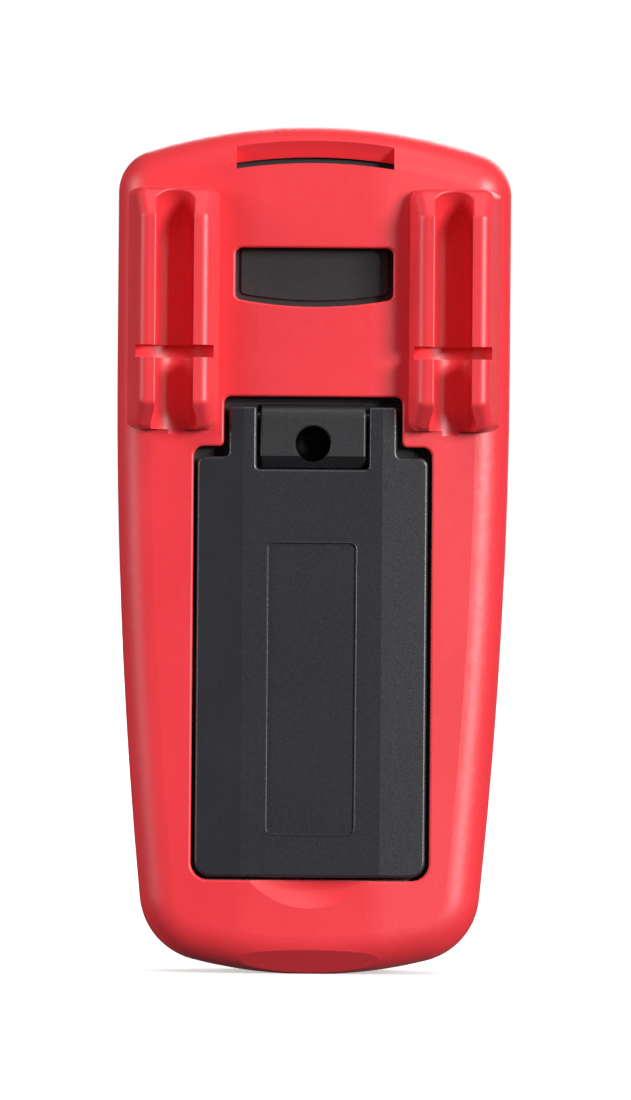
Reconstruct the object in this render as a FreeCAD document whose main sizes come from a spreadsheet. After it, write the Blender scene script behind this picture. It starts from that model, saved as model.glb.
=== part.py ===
import FreeCAD, Part
import math
import os
import re

import Sketcher
from FreeCAD import Placement, Rotation, Vector

# Handheld digital multimeter in a rubber holster.
#
# The meter stands upright: +Z runs from its foot to its top, the display faces +Y, and the back, with
# the probe holders and the tilt stand, faces -Y. The origin is the middle of the bounding box's base.
# All lengths are millimetres, and the driving dimensions are the cells of the sheet called Size.

# ---------------------------------------------------------------------------------------------
# Driving dimensions: alias, value
# ---------------------------------------------------------------------------------------------
DIMENSIONS = [
    # outline of the holster, seen from the back
    ("height", 182.0), ("width", 84.4), ("top_radius", 117.5), ("top_corner", 9.2),
    ("side_start", 130.0), ("side_radius", 1140.0), ("bottom_corner", 15.0),
    ("bottom_radius", 105.0), ("foot_cut", 0.15),
    # levels along Y, from the back to the front
    ("holder_y", -22.5), ("back_y", -15.5), ("case_back_y", -10.3), ("parting_y", 2.0),
    ("shoulder_y", 14.9), ("face_y", 16.0), ("rim_y", 17.0), ("knob_y", 22.5),
    # insets of the shells from the holster's outline
    ("cavity_inset", 2.6), ("case_inset", 2.7), ("mouth_inset", 4.8), ("plateau_inset", 5.0),
    ("case_wall", 2.0), ("gap", 0.1), ("case_round", 5.5), ("face_round", 0.6),
    # the back of the holster falls away on both sides of a flat middle
    ("flat_half", 12.0), ("facet_angle", 5.5), ("facet_blend", 40.0), ("back_round", 8.2),
    ("rim_round", 2.0), ("mouth_round", 0.5), ("lip_round", 0.4), ("foot_plane", -9.7),
    # window and strap passage
    ("strap_half", 16.9), ("window_low", 144.7), ("window_high", 155.7), ("window_arc", 87.0),
    ("window_corner", 1.5), ("bridge_y", -12.7), ("notch_low", 173.8), ("notch_slot", 175.2),
    ("notch_high", 178.8), ("notch_rise", 12.7), ("notch_reach", 6.0), ("notch_floor_low", -11.6),
    ("notch_floor_high", -14.0),
    # probe holders
    ("holder_x", 29.75), ("holder_low", 116.6), ("holder_high", 168.4), ("lip_half", 7.35),
    ("holder_base", 10.2), ("holder_root_y", -11.8), ("holder_sunk", 3.0), ("lip_slope_low", 122.1),
    ("lip_slope_high", 162.5), ("lip_drop", 4.0), ("holder_round", 2.2), ("probe_radius", 5.0),
    ("probe_y", -18.7), ("probe_gap_half", 4.0), ("ramp_low", 155.5), ("ramp_radius", 13.0),
    ("collar_radius", 8.8), ("collar_y", -21.5), ("collar_low", 131.9), ("collar_high", 134.6),
    # opening for the tilt stand, with its corners' radii, and the finger scoop below it
    ("bay_half", 25.5), ("bay_low", 20.2), ("bay_step", 113.1), ("bay_top", 123.8),
    ("bay_neck", 19.1), ("bay_foot_round", 3.8), ("bay_shoulder_round", 2.1), ("bay_inner_round", 1.1),
    ("bay_top_round", 1.5), ("scoop_radius", 32.0), ("scoop_y", -42.4), ("scoop_z", 31.6),
    # tilt stand
    ("stand_half", 24.7), ("stand_low", 20.9), ("stand_step", 110.9), ("stand_crease", 14.9),
    ("hinge_y", -12.85), ("hinge_z", 119.4), ("barrel", 2.3), ("ear_in", 12.0), ("ear_out", 18.0),
    ("fork_low", 108.3), ("stand_skin", 2.0), ("stand_rim", 2.0), ("rib_half", 0.6),
    ("stand_foot_round", 3.4), ("stand_shoulder_round", 1.8), ("ear_foot_round", 1.1),
    ("ear_top_round", 0.8), ("stand_round", 0.7), ("pin_radius", 1.2), ("pin_clear", 0.05),
    ("pin_end", 8.6), ("pin_end_gap", 0.6), ("stand_inner_y", -10.6), ("panel_half", 9.5),
    ("panel_low", 30.0), ("panel_high", 92.6), ("panel_deep", 0.35), ("panel_corner", 1.4),
    # battery cover with the hinge knuckle
    ("cover_half", 21.9), ("cover_low", 26.1), ("cover_high", 122.7), ("cover_thick", 1.8),
    ("cover_corner", 1.0), ("knuckle_half", 11.3), ("knuckle_low", 108.6), ("knuckle_high", 122.2),
    ("knuckle_bevel", 2.5), ("knuckle_round", 2.8), ("knuckle_edge", 0.5), ("screw_z", 113.7),
    ("screw_well", 3.8), ("well_lead", 0.3), ("well_floor_y", -5.5), ("well_boss", 4.9),
    ("screw_clear", 1.7), ("seat_half", 2.0), ("seat_y", -7.0), ("insert_y", -3.9),
    ("insert_outer", 2.4), ("insert_inner", 1.47), ("insert_fit", 2.42), ("insert_long", 7.9),
    ("insert_boss", 4.2), ("deck_thick", 2.0),
    # raised plate behind the holster's window
    ("label_y", -11.0), ("label_inset", 1.1), ("label_rise", 7.0), ("label_corner", 1.2),
    ("label_edge", 0.3),
    # screws
    ("boss_x", 32.0), ("boss_z", 121.5), ("foot_boss_x", 22.0), ("foot_boss_z", 12.5),
    ("board_screw_x", 27.0), ("board_screw_z", 95.5), ("head_y", -6.5), ("rear_boss", 3.9),
    ("rear_well", 2.8), ("rear_hole", 1.45), ("front_boss", 3.3), ("front_pilot", 1.32),
    ("pilot_deep", 9.0), ("post", 2.6), ("post_pilot", 1.02), ("post_deep", 2.5),
    ("cross_reach", 1.5), ("cross_half", 0.3), ("cover_screw_head", 2.8), ("cover_screw_shaft", 1.45),
    ("cover_screw_head_tall", 2.2), ("cover_screw_end", 3.0), ("case_screw_head", 2.6),
    ("case_screw_shaft", 1.3), ("case_screw_head_tall", 2.0), ("case_screw_end", 10.0),
    ("board_screw_head", 2.0), ("board_screw_shaft", 1.0), ("board_screw_head_tall", 1.3),
    ("board_screw_end", 13.4),
    # display
    ("lens_half", 33.0), ("lens_low", 127.0), ("lens_high", 169.5), ("lens_thick", 1.2),
    ("lens_corner", 2.5), ("view_half", 29.0), ("view_low", 131.5), ("view_high", 165.5),
    ("lcd_half", 31.0), ("lcd_low", 130.0), ("lcd_high", 167.0), ("lcd_back_y", 12.0),
    ("lcd_front_y", 13.9), ("lcd_corner", 0.5), ("guide_in", 2.6), ("frame_wall", 2.3),
    ("frame_over", 1.8), ("strip_half", 30.0), ("strip_tall", 2.0),
    # keys
    ("key_pitch_x", 19.5), ("key_half", 7.4), ("key_half_z", 3.5), ("key_row_1", 118.3),
    ("key_row_2", 107.3), ("key_out", 1.7), ("key_gap", 0.3), ("key_back_y", 12.6),
    ("key_corner", 1.2), ("key_edge", 0.5), ("flange_out", 0.7), ("flange_thick", 0.8),
    ("hole_corner", 1.5), ("membrane_half", 28.2), ("membrane_over", 5.0), ("membrane_thick", 0.5),
    ("pad_radius", 2.2), ("pad_tall", 0.65),
    # dial
    ("dial_z", 67.0), ("knob_radius", 20.0), ("hub_radius", 8.4), ("label_radius", 29.5),
    ("label_gap", 0.7), ("label_thick", 0.2), ("hub_y", 13.6), ("rotor_y", 11.9), ("skirt_gap", 0.35),
    ("skirt_rim", 1.6), ("skirt_bevel", 1.0), ("skirt_crown", 0.3), ("grip_half", 4.6),
    ("grip_in", 2.2), ("grip_edge", 1.0), ("inlay_half", 0.95), ("inlay_low", 6.0), ("inlay_in", 3.4),
    ("inlay_deep", 0.5), ("inlay_gap", 0.05), ("rotor_radius", 14.0), ("detent_hole", 0.73),
    ("detent_floor", 10.0), ("detent_ball", 0.7), ("detent_out", 14.2), ("spring_end", 13.4),
    ("spring_outer", 0.6), ("spring_inner", 0.35), ("ring_outer", 16.7), ("ring_inner", 15.2),
    ("wiper_outer", 11.5), ("wiper_inner", 8.5),
    # jacks
    ("jack_z", 24.0), ("jack_radius", 2.0), ("collar_outer", 5.9), ("collar_flange", 6.7),
    ("flange_rise", 0.8), ("collar_inner", 4.05), ("collar_foot", 2.0), ("sleeve_outer", 2.75),
    ("jack_mouth_y", 13.0), ("jack_floor_y", -5.5), ("jack_outer_x", 24.5), ("jack_inner_x", 9.5),
    ("jack_pair", 19.0), ("collar_back_y", 4.0),
    # circuit board and what it carries
    ("board_back_y", 9.5), ("board_front_y", 11.1), ("board_inset", 7.5), ("board_ease", 0.3),
    ("board_boss_hole", 3.6), ("board_screw_hole", 1.1), ("shunt_x", 24.0), ("shunt_y", 4.0),
    ("shunt_low", 34.0), ("shunt_high", 46.0), ("shunt_thick", 1.4), ("buzzer_radius", 7.5),
    ("buzzer_x", -22.0), ("buzzer_y", 7.0), ("buzzer_z", 140.0), ("chip_x", 4.0), ("chip_half", 6.0),
    ("chip_y", 8.1), ("chip_low", 128.0),
    # fuses: the large one stands, the small one lies across
    ("large_fuse", 5.15), ("large_x", 16.0), ("large_y", 3.5), ("large_low", 45.0),
    ("large_high", 83.0), ("large_cap", 7.0), ("small_fuse", 3.15), ("small_z", 97.0),
    ("small_y", 5.8), ("small_low", -11.0), ("small_high", 21.0), ("small_cap", 6.0),
    ("barrel_step", 0.15), ("clip_in", 1.0), ("clip_wide", 4.0), ("clip_thick", 0.55),
    ("clip_ease", 0.02),
    # battery and its walls
    ("battery_left", -19.6), ("battery_right", 6.9), ("battery_low", 34.0), ("battery_high", 80.4),
    ("battery_back_y", -8.3), ("battery_front_y", 9.2), ("battery_corner", 2.0), ("stud_y", 0.4),
    ("stud_apart", 6.4), ("stud_small", 2.9), ("stud_large", 3.4), ("snap_high", 86.0),
    ("snap_low", 82.4), ("snap_in", 1.0), ("snap_back_y", -5.0), ("snap_front_y", 6.0),
    ("wall_gap", 0.2), ("wall_thick", 1.2), ("snap_room", 2.0),
]

doc = FreeCAD.newDocument("multimeter")
sheet = doc.addObject("Spreadsheet::Sheet", "Size")
for row, (alias, value) in enumerate(DIMENSIONS, start=1):
    sheet.set(f"A{row}", alias.replace("_", " "))
    sheet.set(f"B{row}", str(value))
    sheet.setAlias(f"B{row}", alias)
doc.recompute()
ALIASES = {alias for alias, value in DIMENSIONS}


# ---------------------------------------------------------------------------------------------
# Helpers
# ---------------------------------------------------------------------------------------------
def cells(text):
    """The formula with each alias in it written as a reference to the sheet."""
    return re.sub(r"[a-z_][a-z_0-9]*", lambda m: "Size." + m[0] if m[0] in ALIASES else m[0], str(text))


reckoner = doc.addObject("App::FeaturePython", "Reckoner")
reckoner.addProperty("App::PropertyFloat", "Result")


def number(text):
    """What a formula comes to, as a plain number."""
    reckoner.setExpression("Result", cells(text))
    reckoner.recompute()
    return reckoner.Result


def bind(thing, prop, text):
    """Drives a property by a formula in the names of the sheet."""
    thing.setExpression(prop, cells(text))


def at(thing, x, y, z, turn=None):
    """Binds a thing's place to three formulas, with an optional fixed turn."""
    thing.Placement = Placement(Vector(), turn or Rotation())
    for axis, text in zip("xyz", (x, y, z)):
        bind(thing, "Placement.Base." + axis, text)
    return thing


def box(name, x, y, z):
    """A Part::Box between the low and high formulas of each axis."""
    made = doc.addObject("Part::Box", name)
    for prop, (low, high) in zip(("Length", "Width", "Height"), (x, y, z)):
        bind(made, prop, f"({high}) - ({low})")
    return at(made, x[0], y[0], z[0])


TURNS = {"X": Rotation(Vector(0, 1, 0), 90), "Y": Rotation(Vector(1, 0, 0), -90), "Z": Rotation()}


def rod(name, radius, x, y, z):
    """A Part::Cylinder: the axis given as a (low, high) pair is the one that it runs along."""
    axis = next(a for a, t in zip("XYZ", (x, y, z)) if isinstance(t, tuple))
    span = {"X": x, "Y": y, "Z": z}[axis]
    low = [t[0] if isinstance(t, tuple) else t for t in (x, y, z)]
    made = doc.addObject("Part::Cylinder", name)
    bind(made, "Radius", radius)
    bind(made, "Height", f"({span[1]}) - ({span[0]})")
    return at(made, *low, TURNS[axis])


def ball(name, radius, x, y, z):
    """A Part::Sphere about a point."""
    made = doc.addObject("Part::Sphere", name)
    bind(made, "Radius", radius)
    return at(made, x, y, z)


def fuse(name, *pieces):
    """The pieces joined into one."""
    made = doc.addObject("Part::MultiFuse", name)
    made.Shapes = list(pieces)
    return made


def cut(name, base, *tools):
    """The base less every tool."""
    made = doc.addObject("Part::Cut", name)
    made.Base = base
    made.Tool = tools[0] if len(tools) == 1 else fuse(name + "_tools", *tools)
    return made


def common(name, first, second):
    """What two things share."""
    made = doc.addObject("Part::Common", name)
    made.Base = first
    made.Tool = second
    return made


def mirrored(name, source):
    """The thing's mirror image across the plane X = 0."""
    made = doc.addObject("Part::Mirroring", name)
    made.Source = source
    made.Normal = Vector(1, 0, 0)
    return made


def edges_where(shape, test):
    """The numbers of the edges whose bounding box passes the test."""
    return [n for n, edge in enumerate(shape.Edges, start=1) if test(edge.BoundBox, edge)]


def rounded(name, base, radius, test):
    """A Part::Fillet of the edges that pass the test, with a radius from the sheet."""
    doc.recompute()
    made = doc.addObject("Part::Fillet", name)
    made.Base = base
    size = number(radius)
    made.Edges = [(n, size, size) for n in edges_where(base.Shape, test)]
    return made


def body(name):
    """An empty PartDesign body, for sketches and features."""
    return doc.addObject("PartDesign::Body", name)


PLANE_SIGN = {"XY_Plane": 1, "XZ_Plane": -1, "YZ_Plane": 1}


def sketch_on(owner, name, plane, level="0"):
    """A sketch on one of the body's origin planes, moved along the axis it faces to a level."""
    made = owner.newObject("Sketcher::SketchObject", name)
    support = next(f for f in owner.Origin.OriginFeatures if f.Role == plane)
    made.AttachmentSupport = [(support, "")]
    made.MapMode = "FlatFace"
    bind(made, "AttachmentOffset.Base.z", f"{PLANE_SIGN[plane]} * ({level})")
    return made


def polygon(sketch, points):
    """A closed loop of straight lines through points given as pairs of formulas."""
    spots = [Vector(number(x), number(y), 0) for x, y in points]
    first = sketch.GeometryCount
    count = len(spots)
    for n in range(count):
        sketch.addGeometry(Part.LineSegment(spots[n], spots[(n + 1) % count]))
    for n, (x, y) in enumerate(points):
        line = first + n
        sketch.addConstraint(Sketcher.Constraint("Coincident", line, 2, first + (n + 1) % count, 1))
        for kind, text, value in (("DistanceX", x, spots[n].x), ("DistanceY", y, spots[n].y)):
            index = sketch.addConstraint(Sketcher.Constraint(kind, line, 1, value))
            sketch.setExpression(f"Constraints[{index}]", cells(text))
    return sketch


def rectangle(sketch, x, y):
    """A rectangle between two (low, high) pairs of formulas."""
    corners = [(x[0], y[0]), (x[1], y[0]), (x[1], y[1]), (x[0], y[1])]
    return polygon(sketch, corners)


def feature(owner, kind, name, sketch, length=None, reverse=False):
    """A Pad, Pocket or Revolution of a sketch."""
    made = owner.newObject("PartDesign::" + kind, name)
    made.Profile = sketch
    if length is not None:
        bind(made, "Length", length)
    made.Reversed = reverse
    return made


def softened(owner, kind, name, size, test):
    """A PartDesign Fillet or Chamfer on the edges of the body's tip that pass the test."""
    doc.recompute()
    base = owner.Tip
    made = owner.newObject("PartDesign::" + kind, name)
    made.Base = (base, [f"Edge{n}" for n in edges_where(base.Shape, test)])
    bind(made, "Radius" if kind == "Fillet" else "Size", size)
    return made


def along_y(bounds, edge):
    """True for the straight edges that run front to back."""
    return bounds.XLength < 0.01 and bounds.ZLength < 0.01


def slab(name, x, z, front, back, corner=None, front_round=None):
    """A plate that faces the front, with rounded corners and, if asked, a rounded front edge."""
    made = body(name)
    outline = rectangle(sketch_on(made, name + "_outline", "XZ_Plane", front), x, z)
    feature(made, "Pad", name + "_pad", outline, f"({front}) - ({back})")
    if corner:
        softened(made, "Fillet", name + "_corners", corner, along_y)
    if front_round:
        level = number(front)
        softened(made, "Fillet", name + "_edge", front_round, lambda b, e: b.YMin > level - 0.01)
    return made


def tube(name, outer, inner, x, y, z):
    """A round tube: the axis given as a (low, high) pair is the one that it runs along."""
    return cut(name, rod(name + "_outer", outer, x, y, z), rod(name + "_inner", inner, x, y, z))


# ---------------------------------------------------------------------------------------------
# The outline that the holster and the case share
# ---------------------------------------------------------------------------------------------
def circle_meeting(first, first_radius, second, second_radius):
    """The lower of the two points at given distances from two centres."""
    across = second.sub(first)
    gap = across.Length
    along = (first_radius ** 2 - second_radius ** 2 + gap ** 2) / (2 * gap)
    off = math.sqrt(first_radius ** 2 - along ** 2)
    unit = across.normalize()
    side = Vector(unit.y, -unit.x, 0)
    found = [first + unit * along + side * (off * sign) for sign in (1, -1)]
    return min(found, key=lambda p: p.y)


def arc_between(centre, start, end):
    """An anticlockwise arc about a centre, from the direction of one point to that of another."""
    radius = start.sub(centre).Length
    angles = [math.atan2(p.y - centre.y, p.x - centre.x) for p in (start, end)]
    if angles[1] < angles[0]:
        angles[1] += 2 * math.pi
    return Part.ArcOfCircle(Part.Circle(centre, Vector(0, 0, 1), radius), *angles)


def meter_outline(sketch, inset):
    """The meter seen from the back, taken in by a distance all round: a shallow top arc, round
    corners, upright sides that draw in towards the foot, and a shallow bottom arc."""
    d = number(inset)
    half, z0 = number("width / 2"), number("side_start")
    r_top, r_high = number("top_radius"), number("top_corner")
    r_side, r_low, r_foot = number("side_radius"), number("bottom_corner"), number("bottom_radius")
    top_c = Vector(0, number("height - top_radius"), 0)
    foot_c = Vector(0, number("bottom_radius - foot_cut"), 0)
    side_c = Vector(half - r_side, z0, 0)
    high_x = half - r_high
    high_c = Vector(high_x, top_c.y + math.sqrt((r_top - r_high) ** 2 - high_x ** 2), 0)
    low_c = circle_meeting(side_c, r_side - r_low, foot_c, r_foot - r_low)

    def touch(big, small, radius):
        """Where a corner arc runs into a larger one that it lies inside."""
        return small + (small - big).normalize() * (radius - d)

    p_top = touch(top_c, high_c, r_high)
    p_side = Vector(half - d, high_c.y, 0)
    p_start = Vector(half - d, z0, 0)
    p_low = touch(side_c, low_c, r_low)
    p_foot = touch(foot_c, low_c, r_low)

    def flip(p):
        return Vector(-p.x, p.y, 0)

    shapes = [
        arc_between(top_c, p_top, flip(p_top)),
        arc_between(flip(high_c), flip(p_top), flip(p_side)),
        Part.LineSegment(flip(p_side), flip(p_start)),
        arc_between(flip(side_c), flip(p_start), flip(p_low)),
        arc_between(flip(low_c), flip(p_low), flip(p_foot)),
        arc_between(foot_c, flip(p_foot), p_foot),
        arc_between(low_c, p_foot, p_low),
        arc_between(side_c, p_low, p_start),
        Part.LineSegment(p_start, p_side),
        arc_between(high_c, p_side, p_top),
    ]
    for shape in shapes:
        sketch.addGeometry(shape)
    count = len(shapes)
    for n in range(count):
        sketch.addConstraint(Sketcher.Constraint("Tangent", n, 2, (n + 1) % count, 1))
    v_axis = -2
    sizes = [
        ("Radius", (0,), "top_radius - ({d})"), ("DistanceY", (0, 3), "height - top_radius"),
        ("Radius", (1,), "top_corner - ({d})"), ("Radius", (9,), "top_corner - ({d})"),
        ("DistanceX", (2, 1), "({d}) - width / 2"), ("DistanceX", (8, 1), "width / 2 - ({d})"),
        ("DistanceY", (2, 2), "side_start"), ("DistanceY", (8, 1), "side_start"),
        ("Radius", (3,), "side_radius - ({d})"), ("Radius", (7,), "side_radius - ({d})"),
        ("Radius", (4,), "bottom_corner - ({d})"), ("Radius", (6,), "bottom_corner - ({d})"),
        ("Radius", (5,), "bottom_radius - ({d})"), ("DistanceY", (5, 3), "bottom_radius - foot_cut"),
    ]
    for arc in (0, 5):
        sketch.addConstraint(Sketcher.Constraint("PointOnObject", arc, 3, v_axis))
    for line in (2, 8):
        sketch.addConstraint(Sketcher.Constraint("Vertical", line))
    for kind, where, text in sizes:
        text = text.replace("{d}", inset)
        index = sketch.addConstraint(Sketcher.Constraint(kind, *where, number(text)))
        sketch.setExpression(f"Constraints[{index}]", cells(text))
    return sketch


# ---------------------------------------------------------------------------------------------
# Holster
# ---------------------------------------------------------------------------------------------
def slope_pocket(owner, name, flat, blend, top):
    """Cuts a body's back so that it falls away on both sides of its flat middle."""
    angle = math.radians(number("facet_angle"))
    start, reach, back = number(flat), number("width"), number("back_y")
    turned = Vector(start + blend * math.sin(angle), back + blend * (1 - math.cos(angle)), 0)
    far = Vector(reach, turned.y + (reach - turned.x) * math.tan(angle), 0)
    profile = sketch_on(owner, name + "_profile", "XY_Plane", top)
    for side in (1, -1):
        spots = [Vector(start, back, 0), turned, far, Vector(reach, back - 10, 0),
                 Vector(start, back - 10, 0)]
        spots = [Vector(side * p.x, p.y, 0) for p in spots]
        for n in range(5):
            if n == 0 and blend:
                half = angle / 2
                middle = Vector(side * (start + blend * math.sin(half)),
                                back + blend * (1 - math.cos(half)), 0)
                profile.addGeometry(Part.Arc(spots[0], middle, spots[1]))
            elif n:
                profile.addGeometry(Part.LineSegment(spots[n], spots[(n + 1) % 5]))
    return feature(owner, "Pocket", name, profile, top + " + 10")


def window_panel(name, inset, top, front, back, corner):
    """A plate in the shape of the holster's window, with a bowed lower edge, taken in all round."""
    panel = body(name)
    outline = sketch_on(panel, name + "_outline", "XZ_Plane", front)
    half, low, high = number(f"strap_half - {inset}"), number(f"window_low + {inset}"), number(top)
    radius = number("window_arc")
    sag = radius - math.sqrt(radius ** 2 - half ** 2)
    outline.addGeometry(Part.Arc(Vector(-half, low, 0), Vector(0, low - sag, 0), Vector(half, low, 0)))
    corners = [(half, low), (half, high), (-half, high), (-half, low)]
    for start, end in zip(corners, corners[1:]):
        outline.addGeometry(Part.LineSegment(Vector(*start, 0), Vector(*end, 0)))
    feature(panel, "Pad", name + "_pad", outline, f"({front}) - ({back})")
    softened(panel, "Fillet", name + "_corners", corner, along_y)
    return panel


def notch_tool():
    """The strap's way in at the top of the back: a slot down to the tunnel over the case, and a floor
    that climbs away from it, both turned about an axis through the centre of the outline's top arc."""
    tool = body("notch_turned")
    profile = sketch_on(tool, "notch_profile", "YZ_Plane")
    bind(profile, "AttachmentOffset.Base.y", "height - top_radius")
    low, slot, high = (f"{level} - height + top_radius" for level in ("notch_low", "notch_slot",
                                                                      "notch_high"))
    polygon(profile, [("holder_y", low), ("bridge_y", low), ("bridge_y", low + " - notch_reach"),
                      ("0", low + " - notch_reach"), ("0", slot), ("notch_floor_low", slot),
                      ("notch_floor_high", high), ("holder_y", high + " + notch_rise")])
    turned = tool.newObject("PartDesign::Revolution", "notch_revolution")
    turned.Profile = profile
    turned.ReferenceAxis = (profile, ["H_Axis"])
    turned.Midplane = True
    turned.Angle = 40
    width = box("notch_width", ("-strap_half", "strap_half"), ("holder_y", "0"), ("side_start", "height + 5"))
    return common("notch_tool", tool, width)


def bay_tool():
    """The opening that the tilt stand folds into: wide below, narrow round the hinge."""
    tool = body("bay_tool")
    outline = sketch_on(tool, "bay_outline", "XZ_Plane", "case_back_y")
    polygon(outline, [("-bay_half", "bay_low"), ("bay_half", "bay_low"), ("bay_half", "bay_step"),
                      ("bay_neck", "bay_step"), ("bay_neck", "bay_top"), ("-bay_neck", "bay_top"),
                      ("-bay_neck", "bay_step"), ("-bay_half", "bay_step")])
    feature(tool, "Pad", "bay_pad", outline, "case_back_y - holder_y")
    corners = {"bay_foot_round": ("bay_low", "bay_half"), "bay_shoulder_round": ("bay_step", "bay_half"),
               "bay_inner_round": ("bay_step", "bay_neck"), "bay_top_round": ("bay_top", "bay_neck")}
    for radius, (level, half) in corners.items():
        z, x = number(level), number(half)
        softened(tool, "Fillet", radius + "_corner", radius,
                 lambda b, e: along_y(b, e) and abs(b.ZMin - z) < 0.01 and abs(abs(b.XMin) - x) < 0.01)
    return tool


def shell(name, inset, front, back, back_round=None, front_round=None):
    """The meter's outline, taken in, between two levels along Y, with its edges rounded if asked."""
    made = body(name)
    feature(made, "Pad", name + "_pad",
            meter_outline(sketch_on(made, name + "_outline", "XZ_Plane", front), inset),
            f"({front}) - ({back})")
    if back_round:
        low = number(back)
        softened(made, "Fillet", name + "_back_edge", back_round, lambda b, e: b.YMax < low + 0.01)
    if front_round:
        high = number(front)
        softened(made, "Fillet", name + "_front_edge", front_round, lambda b, e: b.YMin > high - 0.01)
    return made


def holder_blank():
    """One probe holder before its mirror image: a ridge with sloping sides and ends."""
    ridge = body("holder_ridge")
    section = sketch_on(ridge, "holder_section", "XY_Plane", "holder_low")
    foot, root = "holder_base", "holder_root_y"
    polygon(section, [("holder_x - lip_half", "holder_y"), ("holder_x + lip_half", "holder_y"),
                      ("holder_x + " + foot, root), ("holder_x + " + foot, root + " + holder_sunk"),
                      ("holder_x - " + foot, root + " + holder_sunk"), ("holder_x - " + foot, root)])
    feature(ridge, "Pad", "holder_pad", section, "holder_high - holder_low")
    ends = sketch_on(ridge, "holder_ends", "YZ_Plane")
    for slope, end in (("lip_slope_high", "holder_high"), ("lip_slope_low", "holder_low")):
        away = "+ 1" if end == "holder_high" else "- 1"
        polygon(ends, [("holder_y - 1", f"{slope} - ({end} - {slope}) / lip_drop"),
                       ("holder_y + lip_drop", end), ("holder_y + lip_drop", end + away),
                       ("holder_y - 1", end + away)])
    pocket = feature(ridge, "Pocket", "holder_slopes", ends, "width")
    pocket.Reversed = True
    root = number(root)
    softened(ridge, "Fillet", "holder_edges", "holder_round",
             lambda b, e: b.YMin < root - 1 and not (b.YMax > root + 1))
    return ridge


def channel_tools():
    """What is cut from a probe holder: the channel for the probe, the ramp that it climbs out on at its
    upper end, its mouth between the lips and the cross slot for the probe's finger guard."""
    channel = rod("channel_bore", "probe_radius", "holder_x", "probe_y", ("holder_low - 1", "ramp_low"))
    ramp = doc.addObject("Part::Torus", "channel_ramp")
    bind(ramp, "Radius1", "ramp_radius")
    bind(ramp, "Radius2", "probe_radius")
    ramp.Angle3 = 90
    at(ramp, "holder_x", "probe_y - ramp_radius", "ramp_low", Rotation(Vector(0, 1, 0), -90))
    gap = ("holder_x - probe_gap_half", "holder_x + probe_gap_half")
    mouth = box("channel_mouth", gap, ("holder_y - 1", "probe_y"),
                ("holder_low - 1", "ramp_low + ramp_radius / 2"))
    ramp = common("channel_way_out", ramp,
                  box("ramp_width", gap, ("holder_y - 1", "0"), ("ramp_low", "height")))
    slot = rod("channel_slot", "collar_radius", "holder_x", "collar_y", ("collar_low", "collar_high"))
    return [channel, ramp, mouth, slot]


def foot_tools():
    """The flat that the meter stands on and the bevel behind it."""
    below = box("foot_flat", ("-width", "width"), ("-width", "width"), ("-10", "0"))
    wedge = body("foot_bevel")
    section = sketch_on(wedge, "foot_section", "YZ_Plane", "-width")
    polygon(section, [("holder_y", "-10"), ("foot_plane + 10", "-10"), ("holder_y", "foot_plane - holder_y")])
    feature(wedge, "Pad", "foot_pad", section, "2 * width")
    return [below, wedge]


def holster():
    """Rubber holster: an open-fronted shell with probe holders on its back."""
    outside = body("holster_outside")
    outline = meter_outline(sketch_on(outside, "holster_outline", "XZ_Plane", "rim_y"), "0")
    feature(outside, "Pad", "holster_pad", outline, "rim_y - back_y")
    slope_pocket(outside, "holster_slopes", "flat_half", number("facet_blend"), "height")
    back, rim, seam = number("back_y"), number("rim_y"), number("flat_half + facet_blend / 8")
    softened(outside, "Fillet", "holster_back_round", "back_round",
             lambda b, e: b.YMax < back + 4 and not (b.XLength < 0.01 and abs(b.XMin) < seam))
    softened(outside, "Fillet", "holster_rim_round", "rim_round", lambda b, e: b.YMin > rim - 0.01)

    ridge = holder_blank()
    raised = fuse("holster_raised", outside, ridge, mirrored("holder_ridge_left", ridge))
    channel = fuse("channel_right", *channel_tools())
    tunnel = box("strap_tunnel", ("-strap_half", "strap_half"), ("bridge_y", "0"),
                 ("window_high - 0.1", "notch_low - notch_reach / 2"))
    scoop = ball("finger_scoop", "scoop_radius", "0", "scoop_y", "scoop_z")
    cavity = shell("holster_cavity", "cavity_inset", "shoulder_y + gap", "case_back_y - gap",
                   "case_round + gap")
    mouth = shell("holster_mouth", "mouth_inset", "rim_y + 1", "0")
    window = window_panel("window_tool", "0", "window_high", "case_back_y", "holder_y", "window_corner")
    sharp = cut("holster_sharp", raised, channel, mirrored("channel_left", channel), cavity, mouth,
                tunnel, scoop, window, notch_tool(), bay_tool(), *foot_tools())
    return rounded("holster", rounded("holster_lips", sharp, "lip_round", lip_edge), "mouth_round",
                   opening_edge)


def lip_edge(bounds, edge):
    """True for the edges along the mouth of a probe channel, from the cross slot to its upper end."""
    across = abs(abs(bounds.Center.x) - number("holder_x"))
    on_face = bounds.YMax < number("holder_y") + 0.1
    straight = on_face and bounds.XLength < 0.01 and bounds.ZLength > 2 and across < 4.02
    ramp = bounds.ZMin > number("ramp_low") + 3 and bounds.ZMax < number("holder_high")
    top = ramp and across < 5.01 and number("holder_y") - 0.01 < bounds.YMin and bounds.YMax < -18.7
    return straight or (top and bounds.YMin < -18.9)


def opening_edge(bounds, edge):
    """True for the edges where the window and the stand's opening meet the holster's back."""
    reach = max(abs(bounds.XMin), abs(bounds.XMax))
    spans = [("bay_low", "bay_step", "bay_half"), ("bay_step", "bay_top", "bay_neck"),
             ("bay_step - 1", "bay_step + 1.2", "bay_neck + 1.2"),
             ("window_low - 2", "window_high", "strap_half")]
    inside = any(number(low) - 0.3 < bounds.ZMin and bounds.ZMax < number(high) + 0.3
                 and reach < number(half) + 0.3 for low, high, half in spans)
    seam = bounds.XLength < 0.02 and reach < number("flat_half + facet_blend / 8")
    return inside and not seam and bounds.YMax < number("back_y + 1.9")


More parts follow.
